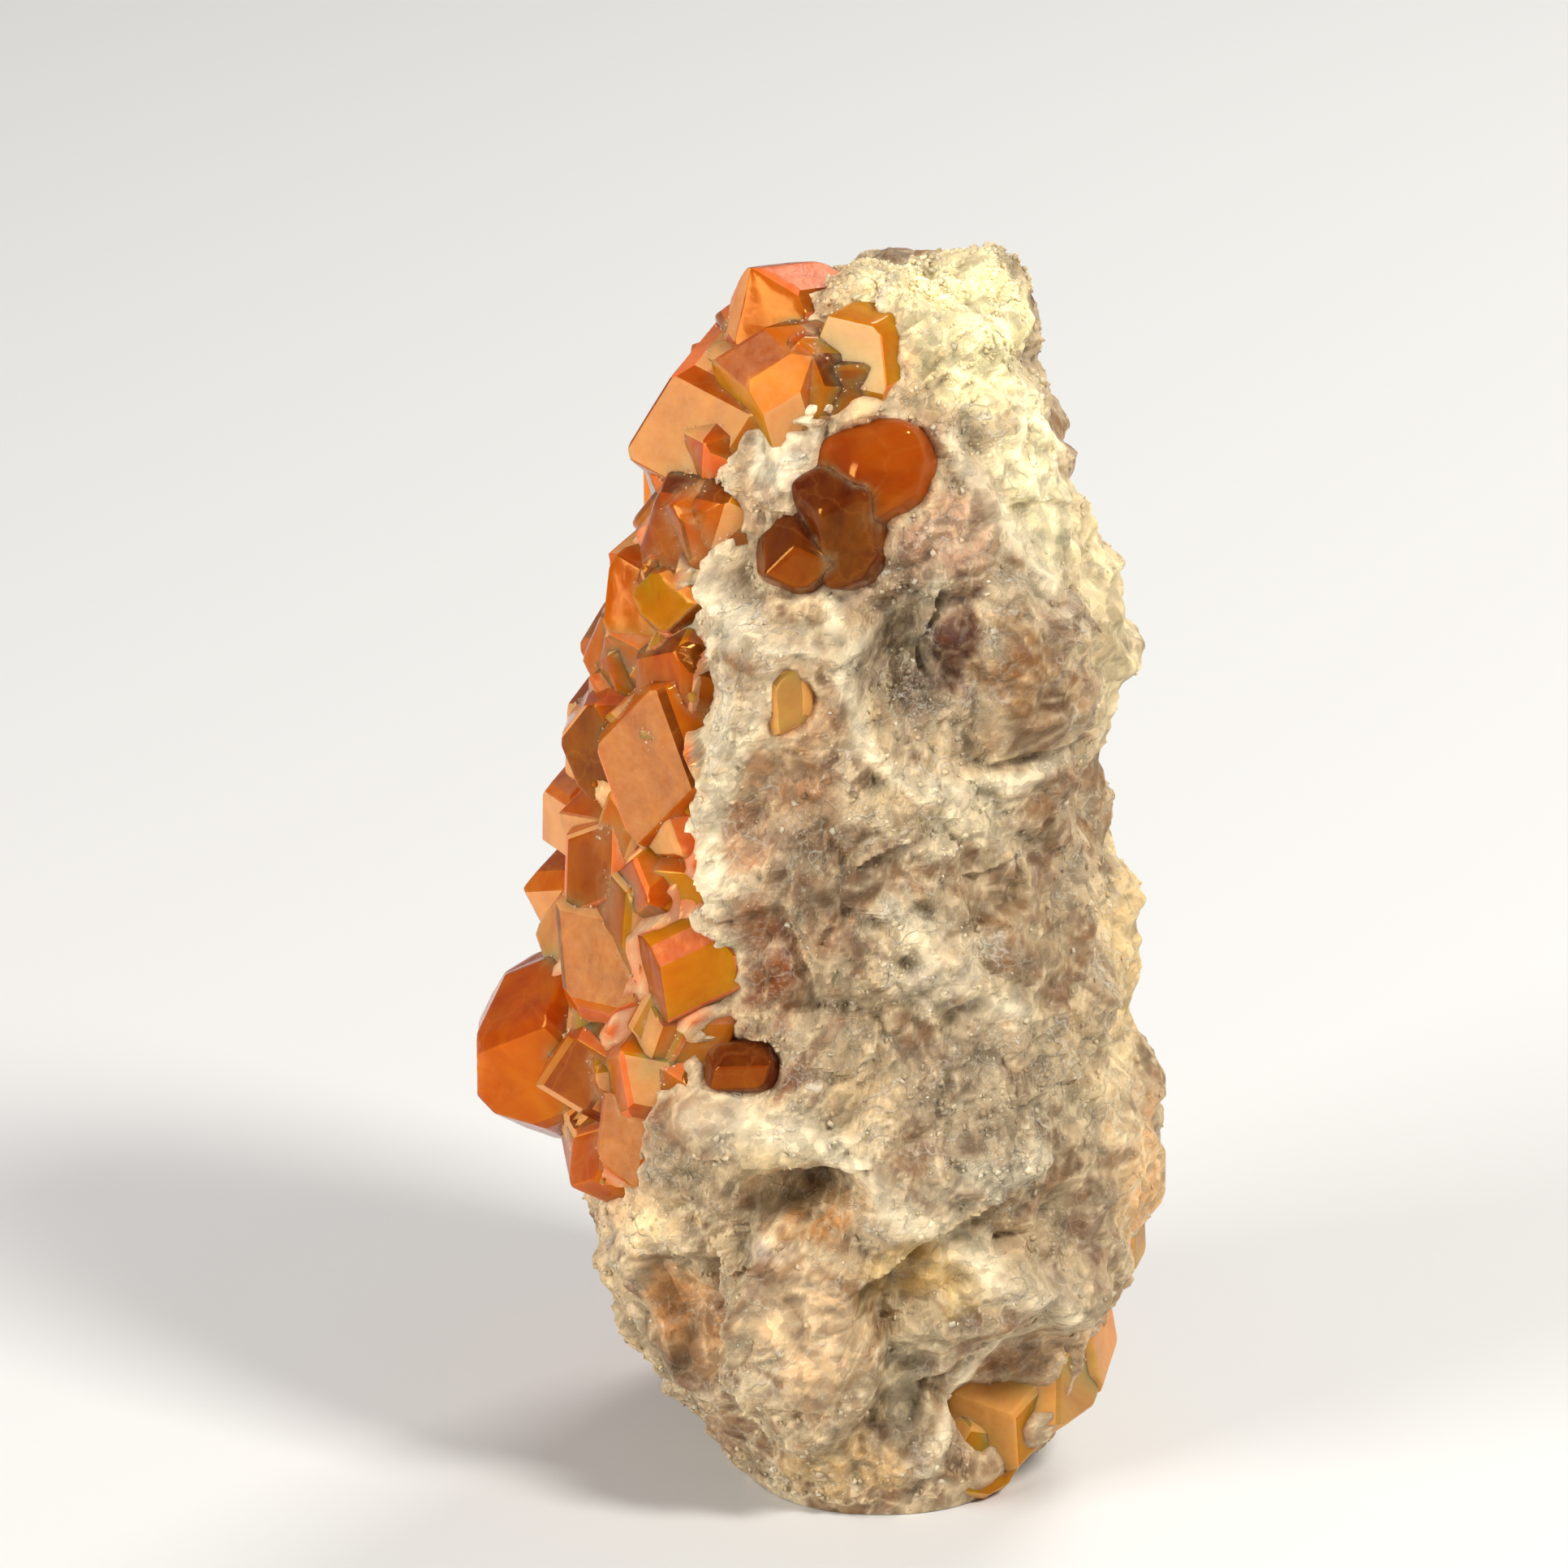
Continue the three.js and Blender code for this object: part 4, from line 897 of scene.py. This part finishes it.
# Garnet growth: cloudy zones and healed cracks inside the stone shift its colour, fine steps and pits on the
# faces give a height, and frost with a painted sheen and seams a pale cover.
def makeGarnetGrowth():
    tree, given, result = startGroup(
        "garnetGrowth",
        [("Colour", "NodeSocketColor", (0.7, 0.2, 0.02, 1)), ("Cloudiness", "NodeSocketFloat", 0.4),
         ("Frost and sheen", "NodeSocketFloat", 0.0), ("Seam", "NodeSocketFloat", 0.0)],
        [("Colour", "NodeSocketColor"), ("Roughness", "NodeSocketFloat"), ("Height", "NodeSocketFloat")],
    )
    place = addNode(tree, "ShaderNodeTexCoord").outputs["Object"]
    zones = noiseNode(tree, place, 560.0, 4.0, 0.62, 0.8)
    zone = rangeNode(tree, zones.outputs[0], 0.34, 0.68, 0.0, 1.0)
    darker = mixColours(tree, 1.0, given["Colour"], (0.62, 0.4, 0.25, 1), "MULTIPLY")
    lighter = mixColours(tree, 0.4, given["Colour"], (1.0, 0.36, 0.01, 1))
    toned = mixColours(tree, given["Cloudiness"], given["Colour"], mixColours(tree, zone, darker, lighter))
    crack = crackLines(tree, bendPlace(tree, place, zones, 0.0012), 450.0, 0.03, 0.3)
    toned = mixColours(tree, times(tree, crack, given["Cloudiness"]), toned, (0.85, 0.3, 0.06, 1))
    steps = addNode(tree, "ShaderNodeTexVoronoi", {"Vector": place, "Scale": 1500.0}, distance="MANHATTAN")
    pits = noiseNode(tree, place, 3200.0, 5.0, 0.6).outputs[0]
    # painted sheen: frost lightens the face towards pale peach
    frostSheenVeil = times(tree, rangeNode(tree, pits, 0.3, 0.75, 0.15, 0.5), times(tree, given["Frost and sheen"], 0.7))
    seam = times(tree, given["Seam"], rangeNode(tree, pits, 0.3, 0.6, 0.35, 1.0))
    seamAndSheenCover = mathNode(tree, "MAXIMUM", frostSheenVeil, seam)
    colour = mixColours(tree, seamAndSheenCover, toned, (0.84, 0.5, 0.25, 1))
    roughness = plus(tree, rangeNode(tree, pits, 0.3, 0.7, 0.05, 0.14), times(tree, given["Frost and sheen"], 0.28))
    roughness = plus(tree, roughness, times(tree, seamAndSheenCover, 0.35))
    pitting = times(tree, pits, plus(tree, given["Frost and sheen"], 0.25))
    height = plus(tree, times(tree, steps.outputs[0], 0.5), pitting)
    for name, socket in (("Colour", colour), ("Roughness", roughness), ("Height", height)):
        tree.links.new(socket, result[name])
    return tree


mineralGrain = makeMineralGrain()
garnetGrowth = makeGarnetGrowth()


def startMaterial(name):
    material = bpy.data.materials.new(name)
    material.use_nodes = True
    material.node_tree.nodes.clear()
    shader = material.node_tree.nodes.new("ShaderNodeBsdfPrincipled")
    output = material.node_tree.nodes.new("ShaderNodeOutputMaterial")
    material.node_tree.links.new(shader.outputs[0], output.inputs["Surface"])
    return material, material.node_tree, shader, output


def setPlain(shader, values):
    for key, value in values.items():
        shader.inputs[key].default_value = value


def readAttribute(tree, name, part):
    return addNode(tree, "ShaderNodeAttribute", attribute_name=name).outputs[part]


# Rock: the skin's own colours with fine mineral grain, slightly translucent.
def makeRockMaterial(name, look):
    material, tree, shader, _ = startMaterial(name)
    rough = readAttribute(tree, "grainHeight", "Fac")
    group = addNode(tree, "ShaderNodeGroup", node_tree=mineralGrain)
    group.inputs["Cells per metre"].default_value = look["cells"]
    group.inputs["Shade spread"].default_value = look["spread"]
    tree.links.new(readAttribute(tree, "rockColour", "Color"), group.inputs["Colour"])
    tree.links.new(times(tree, rough, look["specks"]), group.inputs["Specks"])
    tree.links.new(group.outputs["Colour"], shader.inputs["Base Color"])
    height = group.outputs["Height"]
    tree.links.new(rangeNode(tree, height, 0.3, 0.9, *look["roughness"]), shader.inputs["Roughness"])
    bump = addNode(tree, "ShaderNodeBump", {"Height": height, "Distance": look["bump"], "Strength": rough})
    tree.links.new(bump.outputs[0], shader.inputs["Normal"])
    setPlain(shader, {"Subsurface Weight": look["glow"], "Subsurface Radius": (1.0, 0.7, 0.45),
                      "Subsurface Scale": look["depth"], "Specular IOR Level": 0.3, "IOR": 1.53})
    return material


rockLooks = {
    "rockSkin": dict(cells=3600.0, spread=0.25, specks=0.35, roughness=(0.62, 0.28), bump=0.00008, glow=0.3,
                     depth=0.0005),
    "rockGrain": dict(cells=5200.0, spread=0.2, specks=0.25, roughness=(0.55, 0.25), bump=0.00003, glow=0.2,
                      depth=0.0002),
}
rockMaterials = {name: makeRockMaterial(name, look) for name, look in rockLooks.items()}


# Garnet: clear stone with plain transmission and absorption, or a frosted face with little of it. reads names
# the attributes that feed the growth group, as attribute, input and output.
def makeGarnetMaterial(name, look):
    material, tree, shader, output = startMaterial(name)
    group = addNode(tree, "ShaderNodeGroup", node_tree=garnetGrowth)
    group.inputs["Cloudiness"].default_value = look["cloudiness"]
    group.inputs["Frost and sheen"].default_value = look["frostAndSheen"]
    for attribute, socket, part in look["reads"]:
        tree.links.new(readAttribute(tree, attribute, part), group.inputs[socket])
    tree.links.new(group.outputs["Colour"], shader.inputs["Base Color"])
    tree.links.new(group.outputs["Roughness"], shader.inputs["Roughness"])
    bump = addNode(tree, "ShaderNodeBump", {"Height": group.outputs["Height"], "Distance": look["bump"]})
    bump.inputs["Strength"].default_value = 1.0
    tree.links.new(bump.outputs[0], shader.inputs["Normal"])
    setPlain(shader, {"IOR": 1.8, "Transmission Weight": look["transmission"],
                      "Subsurface Weight": look["glow"], "Subsurface Radius": (1.0, 0.36, 0.05),
                      "Subsurface Scale": 0.0016, "Specular IOR Level": look["specular"],
                      "Specular Tint": (1.0, 0.5, 0.12, 1)})
    if look["density"]:
        inputs = {"Color": (*look["absorb"], 1), "Density": look["density"]}
        absorb = addNode(tree, "ShaderNodeVolumeAbsorption", inputs)
        tree.links.new(absorb.outputs[0], output.inputs["Volume"])
    return material


faceReads = (("faceColour", "Colour", "Color"), ("frostAndSheen", "Frost and sheen", "Fac"), ("seam", "Seam", "Fac"))
garnetLooks = {
    "garnetClear": dict(cloudiness=0.6, bump=0.000008, transmission=0.45, glow=0.8, absorb=(0.99, 0.5, 0.05),
                        density=100.0, specular=0.1, frostAndSheen=0.0, reads=faceReads),
    "garnetFrosted": dict(cloudiness=0.5, bump=0.00003, transmission=0.15, glow=0.4, absorb=(0.99, 0.5, 0.05),
                          density=100.0, specular=0.15, frostAndSheen=0.0, reads=faceReads),
    "garnetPocket": dict(cloudiness=0.5, bump=0.000008, transmission=0.6, glow=0.5, absorb=(0.97, 0.4, 0.05),
                         density=160.0, specular=0.06, frostAndSheen=0.0, reads=faceReads),
    "garnetMass": dict(cloudiness=0.5, bump=0.00002, transmission=0.0, glow=0.4, density=0, specular=0.3,
                       frostAndSheen=0.15, reads=(("rockColour", "Colour", "Color"),)),
}
garnetMaterials = {name: makeGarnetMaterial(name, look) for name, look in garnetLooks.items()}
print("materials made")


# The rock's skin.
# Keeps points inside the CAD model's box, and lowest above the foot.
def insideBox(points, lowest=0.02):
    return np.clip(points, lowCorner + (0, 0, lowest), highCorner)


# Points past the front limit are eased back to limit - margin tanh(beyond / softness), and heights above a
# start are shrunk in proportion, so that the top comes out at the rock's height.
def easeInside(points, onFoot):
    margin, start = rockShape["frontMargin"], rockShape["shrinkFrom"]
    frontLimit = lowCorner[1] + margin
    beyond = np.maximum(frontLimit - points[:, 1], 0)
    eased = frontLimit - margin * np.tanh(beyond / rockShape["frontSoftness"])
    points[:, 1] = np.maximum(points[:, 1], eased)
    room = rockShape["height"] - start
    shrink = room / max(points[:, 2].max() - start, room)
    points[:, 2] = np.where(points[:, 2] > start, start + (points[:, 2] - start) * shrink, points[:, 2])
    points[:, 2] = np.where(onFoot, 0, np.maximum(points[:, 2], 0))
    return insideBox(points, 0)


# A grid of height share and angle on the body, moved outwards by the relief and then by the finer grains,
# more where the rock is rough: medium (0.3 + 0.7 rough) + rough^1.5 (fine + ripple). The last rings draw in
# over the top: radius 1 - v with the outward direction turning upright.
def makeRockSkin():
    rows, rings, columns = rockShape["rows"], rockShape["topRings"], rockShape["columns"]
    share = np.concatenate([np.linspace(0, 1, rows), np.ones(rings)])
    radius = np.concatenate([np.ones(rows), 1 - np.arange(1, rings + 1) / (rings + 0.5)])
    even = np.arange(columns) / columns * 2 * math.pi
    angle = even - rockShape["frontShare"] * np.cos(even)
    share, angle = np.meshgrid(share, angle, indexing="ij")
    radius = np.repeat(radius[:, None], columns, 1)
    share, angle, radius = share.ravel(), angle.ravel(), radius.ravel()
    plain = bodyPoint(share, angle, radius)
    lift = outward(share, angle, np.maximum(radius, 0.02))
    large, grains = relief(plain)
    points = plain + lift * large[:, None]
    mediumGrain, mediumLead, mediumTint, mediumSide = grain(points, "medium")
    fineGrain, _, _, fineSide = grain(points, "fine")
    medium, fine = mediumGrain * grainSizes["medium"], fineGrain * grainSizes["fine"]
    ripple = cloud(points, 0.25, 131) - 0.5
    garnetAway = crystalDistance(points)
    _, rough = rockColour(points, grains, medium + fine, garnetAway)
    evenRough = np.minimum(rough, 1)
    level = np.where(grains["crust"] > 0.5, 0.1, 1) * smoothStep(0, 0.6, plain[:, 2])
    move = rockShape["mediumRelief"] * medium * (0.3 + 0.7 * evenRough)
    move = move + rough ** 1.5 * (rockShape["fineRelief"] * fine + rockShape["ripple"] * ripple)
    points = easeInside(points + lift * (move * level)[:, None], share == 0)
    onRock = grains["crust"] < 0.5
    mediumLead = mediumLead * grainSizes["medium"] + 0.03
    grains["lead"] = np.where(onRock, np.minimum(grains["lead"], mediumLead), grains["lead"])
    grains["small"] = 0.6 * grains["small"] + 0.2 * (mediumTint + mediumSide)
    colour, rough = rockColour(points, grains, medium + fine, garnetAway)
    evenRough = np.minimum(rough, 1)
    facets = 0.84 + 0.34 * (0.6 * mediumSide + 0.4 * fineSide) * evenRough + 0.1 * (1 - evenRough)
    colour = np.where(onRock[:, None], colour * facets[:, None], colour)
    index = np.arange(len(points)).reshape(rows + rings, columns)
    following = np.roll(index, -1, 1)
    quads = np.stack([index[:-1], following[:-1], following[1:], index[1:]], -1).reshape(-1, 4)
    centres = np.array([points[index[0]].mean(0), points[index[-1]].mean(0)])
    foot, peak = len(points), len(points) + 1
    capFoot = np.stack([following[0], index[0], np.full(columns, foot)], 1)
    capTop = np.stack([index[-1], following[-1], np.full(columns, peak)], 1)
    ends = [index[0][0], index[-1][0]]
    onCrust = np.concatenate([grains["crust"][quads].mean(1) > 0.5, np.zeros(2 * columns, bool)])
    materials = [rockMaterials["rockSkin"], garnetMaterials["garnetMass"]]
    allPoints = np.vstack([points, centres])
    skin = makePiece("rockSkin", allPoints, [quads, capFoot, capTop], materials, ["matrix"], onCrust)
    skin.data.polygons.foreach_set("use_smooth", np.zeros(len(skin.data.polygons), bool))
    addColour(skin, "rockColour", np.vstack([colour, colour[ends]]))
    addValue(skin, "grainHeight", np.concatenate([rough, rough[ends]]))
    return points, lift, colour, rough, garnetAway, grains["crust"]


skinPoints, skinLift, skinColour, skinRough, skinGarnetAway, skinCrust = makeRockSkin()


# The garnets.
# A group of crystals as one mesh with a colour and a frost, which also paints sheen, for each face and a seam
# value for each point.
def makeGarnets(name, group, nodes, clearMaterial="garnetClear"):
    points, quads, colours, frostAndSheenLists, owners = [], [], [], [], []
    count = 0
    for crystal, seed in crystalGroups[group]:
        crystalPoints, crystalQuads, faces = crystalMesh(crystal, seed, garnets["cells"][group])
        faceColours, faceFrostAndSheen = faceFinish(crystal, seed)
        points.append(crystalPoints)
        quads.append(crystalQuads + count)
        colours.append(faceColours[faces])
        frostAndSheenLists.append(faceFrostAndSheen[faces])
        owners.append(np.full(len(crystalPoints), allCrystals.index((crystal, seed))))
        count += len(crystalPoints)
    points, quads, frostAndSheen = insideBox(np.vstack(points)), np.vstack(quads), np.concatenate(frostAndSheenLists)
    away = crystalDistance(points, np.concatenate(owners))
    materials = [garnetMaterials[clearMaterial], garnetMaterials["garnetFrosted"]]
    piece = makePiece(name, points, [quads], materials, nodes, frostAndSheen > 0.5)
    addColour(piece, "faceColour", np.repeat(np.vstack(colours), 4, 0), "CORNER")
    addValue(piece, "frostAndSheen", np.repeat(frostAndSheen, 4), "CORNER")
    strength, width = garnets["seam"]
    addValue(piece, "seam", strength * np.exp(-np.abs(away) / width))
    return points, quads


crustPoints, crustQuads = makeGarnets("garnetCrust", "crust", ["garnet_crust"])
makeGarnets("betweenCrystals", "filler", ["garnet_crust"])
makeGarnets("garnetDruse", "druse", ["garnet_crust"])
makeGarnets("edgeGarnets", "edge", ["edge_garnets"])
makeGarnets("pocketGarnets", "pocket", ["pocket_garnets"], "garnetPocket")
makeGarnets("upperInlaidGarnet", "upper", ["inlaid_garnet_upper"])
makeGarnets("lowerInlaidGarnet", "lower", ["inlaid_garnet_lower"], "garnetPocket")
makeGarnets("rimGarnet", "single", ["rim_garnet"])


# Loose grains: how many of each and their sizes, and the tones of the pale ones.
looseGrains = {
    "rockCount": 3500,
    "rockSize": (0.04, 0.11),
    "rockStretch": 1.7,
    "rockTone": (232, 222, 196),
    "seamTries": 40000,  # chance points on the crust, of which those beside another crystal are kept
    "seamCount": 2000,  # at most
    "seamReach": 0.07,  # how near the planes of two crystals
    "seamSunk": 0.09,  # how deep in a crystal at most
    "seamSize": (0.02, 0.06),
    "seamStretch": 1.5,
    "seamTone": (222, 178, 136),
    "garnetCount": 70,
    "garnetSize": (0.2, 0.45),
    "garnetTints": ("orange", "amber", "peach", "deep", "honey", "brown"),
    "seed": 5,
}
random = np.random.default_rng(looseGrains["seed"])


# Chance turns: unit quaternions (w, x, y, z) to matrices.
def chanceTurns(count):
    w, x, y, z = unit(random.normal(size=(count, 4))).T
    return np.stack([
        1 - 2 * (y * y + z * z), 2 * (x * y - z * w), 2 * (x * z + y * w),
        2 * (x * y + z * w), 1 - 2 * (x * x + z * z), 2 * (y * z - x * w),
        2 * (x * z - y * w), 2 * (y * z + x * w), 1 - 2 * (x * x + y * y),
    ], 1).reshape(count, 3, 3)


# Angular fragments: a box whose eight corners are each moved by chance, stretched, turned and set in place.
def fragments(places, sizes, stretch):
    box = np.array(list(itertools.product((-1, 1), repeat=3)), float) * 0.5
    shapes = box + random.uniform(-0.2, 0.2, (len(places), 8, 3))
    shapes = shapes * random.uniform(1 / stretch, stretch, (len(places), 1, 3)) * sizes[:, None, None]
    points = np.einsum("nij,nkj->nki", chanceTurns(len(places)), shapes) + places[:, None]
    sides = np.array([[0, 1, 3], [0, 3, 2], [4, 6, 7], [4, 7, 5], [0, 4, 5], [0, 5, 1],
                      [2, 3, 7], [2, 7, 6], [0, 2, 6], [0, 6, 4], [1, 5, 7], [1, 7, 3]])
    faces = sides[None] + 8 * np.arange(len(places))[:, None, None]
    return points.reshape(-1, 3), faces.reshape(-1, 3)


# Grains on the rough parts of the rock, denser where the skin is rough and on the front.
def makeRockGrains():
    weight = skinRough ** 4 * (skinPoints[:, 2] > 0.4) * (skinGarnetAway > 0.1) * (1 - skinCrust)
    chosen = random.choice(len(skinPoints), looseGrains["rockCount"], replace=False, p=weight / weight.sum())
    small, large = looseGrains["rockSize"]
    sizes = small + (large - small) * random.random(len(chosen)) ** 2.5
    places = skinPoints[chosen] + 0.1 * sizes[:, None] * skinLift[chosen]
    points, faces = fragments(places, sizes, looseGrains["rockStretch"])
    materials = [rockMaterials["rockGrain"]]
    piece = makePiece("rockGrains", insideBox(points), [faces], materials, ["matrix"])
    tone = skinColour[chosen] * random.uniform(0.85, 1.15, (len(chosen), 1))
    paler = random.random((len(chosen), 1)) ** 3 * 0.6
    tone = tone + paler * (linear(looseGrains["rockTone"]) - tone)
    addColour(piece, "rockColour", np.repeat(tone, 8, 0))
    addValue(piece, "grainHeight", np.full(len(points), 0.6))


# Pale grains along the lines where crystals meet: chance points on the crust close to two crystals' planes.
def makeSeamGrains():
    corners = crustPoints[crustQuads]
    area = np.linalg.norm(np.cross(corners[:, 2] - corners[:, 0], corners[:, 3] - corners[:, 1]), axis=1)
    chosen = random.choice(len(corners), looseGrains["seamTries"], p=area / area.sum())
    u, v = random.random((2, len(chosen), 1))
    one, two, three, four = np.moveaxis(corners[chosen], 1, 0)
    places = (1 - u) * (1 - v) * one + u * (1 - v) * two + u * v * three + (1 - u) * v * four
    counts = np.zeros(len(places))
    outside = np.ones(len(places), bool)
    for middle, normals, distances in allPlanes:
        away = ((places - middle) @ normals.T - distances).max(1)
        counts += np.abs(away) < looseGrains["seamReach"]
        outside &= away > -looseGrains["seamSunk"]
    places = places[(counts >= 2) & outside][: looseGrains["seamCount"]]
    small, large = looseGrains["seamSize"]
    sizes = small + (large - small) * random.random(len(places)) ** 2
    points, faces = fragments(places, sizes, looseGrains["seamStretch"])
    materials = [rockMaterials["rockGrain"]]
    piece = makePiece("seamGrains", insideBox(points), [faces], materials, ["garnet_crust"])
    tone = linear(looseGrains["seamTone"]) * random.uniform(0.8, 1.1, (len(places), 1))
    addColour(piece, "rockColour", np.repeat(tone, 8, 0))
    addValue(piece, "grainHeight", np.full(len(points), 0.3))


# Small garnets between the large ones: dodecahedra of 14 corners, half sunk in the rock.
def makeSmallGarnets():
    cube = np.array(list(itertools.product((-1, 1), repeat=3)), float)
    shape = np.vstack([cube * 0.5, np.eye(3), -np.eye(3)])
    rhombs = []
    for direction in faceDirections:
        onFace = np.argsort(-(shape @ direction))[:4]
        rhombs.append(onFace[roundOrder(shape[onFace], direction)])
    weight = np.exp(-((skinGarnetAway - 0.35) / 0.3) ** 2) * skinCrust
    weight = weight / weight.sum()
    chosen = random.choice(len(skinPoints), looseGrains["garnetCount"], replace=False, p=weight)
    small, large = looseGrains["garnetSize"]
    sizes = small + (large - small) * random.random(len(chosen)) ** 2
    turned = np.einsum("nij,kj->nki", chanceTurns(len(chosen)), shape) * (0.55 * sizes)[:, None, None]
    points = (turned + skinPoints[chosen][:, None]).reshape(-1, 3)
    quads = (np.array(rhombs)[None] + 14 * np.arange(len(chosen))[:, None, None]).reshape(-1, 4)
    frostAndSheen = np.repeat(random.random(len(chosen)) < 0.45, 12)
    materials = [garnetMaterials["garnetClear"], garnetMaterials["garnetFrosted"]]
    points = insideBox(points)
    piece = makePiece("smallGarnets", points, [quads], materials, ["garnet_crust"], frostAndSheen)
    piece.data.polygons.foreach_set("use_smooth", np.zeros(len(quads), bool))
    palette = linear([garnets["colours"][tint] for tint in looseGrains["garnetTints"]])
    colours = palette[random.integers(0, len(palette), len(chosen))]
    addColour(piece, "faceColour", np.repeat(colours, 48, 0), "CORNER")
    addValue(piece, "frostAndSheen", np.repeat(frostAndSheen, 4).astype(float), "CORNER")
    addValue(piece, "seam", np.zeros(len(points)))


makeRockGrains()
makeSeamGrains()
makeSmallGarnets()


# Floor, light and camera.
studio = {
    "floorColour": (0.7, 0.7, 0.69, 1),
    "floorDrop": 2e-5,  # gap under the foot
    "aim": (0, 0, 0.017),  # point that the lamps face
    "worldColour": (0.93, 0.95, 1.0, 1),
    "worldStrength": 0.24,
    # place, size, watts, colour
    "lights": {
        "keyFromRight": ((0.17, -0.13, 0.24), 0.07, 0.82, (1.0, 0.97, 0.92)),
        "rimFromBack": ((0.12, 0.2, 0.22), 0.12, 0.5, (1.0, 0.97, 0.92)),
        "leftSoft": ((-0.24, -0.16, 0.12), 0.14, 0.8, (1.0, 0.98, 0.95)),
    },
}


def aimAt(thing, place, target):
    direction = np.array(target) - place  # from the lamp to its target
    flat = math.hypot(direction[0], direction[1])
    thing.location = place
    thing.rotation_euler = (math.atan2(flat, -direction[2]), 0, math.atan2(-direction[0], direction[1]))


def makeStudio():
    plane = bpy.data.meshes.new("floor")
    corners = [(x, y, -studio["floorDrop"]) for x, y in ((-1, -1), (1, -1), (1, 1), (-1, 1))]
    plane.from_pydata(corners, [], [(0, 1, 2, 3)])
    floor = bpy.data.objects.new("floor", plane)
    bpy.context.scene.collection.objects.link(floor)
    material, _, shader, _ = startMaterial("floor")
    setPlain(shader, {"Base Color": studio["floorColour"], "Roughness": 0.7})
    plane.materials.append(material)
    world = bpy.data.worlds.new("studio")
    world.use_nodes = True
    background = world.node_tree.nodes["Background"]
    background.inputs["Color"].default_value = studio["worldColour"]
    background.inputs["Strength"].default_value = studio["worldStrength"]
    bpy.context.scene.world = world
    for name, (place, size, watts, colour) in studio["lights"].items():
        lamp = bpy.data.lights.new(name, "AREA")
        lamp.size, lamp.energy, lamp.color = size, watts, colour
        holder = bpy.data.objects.new(name, lamp)
        aimAt(holder, place, studio["aim"])
        bpy.context.scene.collection.objects.link(holder)


# The photograph's view: a long lens looking down.
view = {
    "place": (-0.00099, -0.2232, 0.0945),
    "down": 18.7,  # degrees
    "sensor": 36,  # mm
    "reach": 10500 / 1932,  # distance to the picture plane, in picture widths
}


def makeCamera():
    camera = bpy.data.objects.new("camera", bpy.data.cameras.new("camera"))
    camera.data.sensor_width = view["sensor"]
    camera.data.lens = view["sensor"] * view["reach"]
    camera.data.clip_start = 0.01
    camera.location = view["place"]
    camera.rotation_euler = (math.radians(90 - view["down"]), 0, 0)
    bpy.context.scene.collection.objects.link(camera)
    bpy.context.scene.camera = camera


makeStudio()
makeCamera()
bpy.context.scene.view_settings.view_transform = "Standard"
print("scene made")
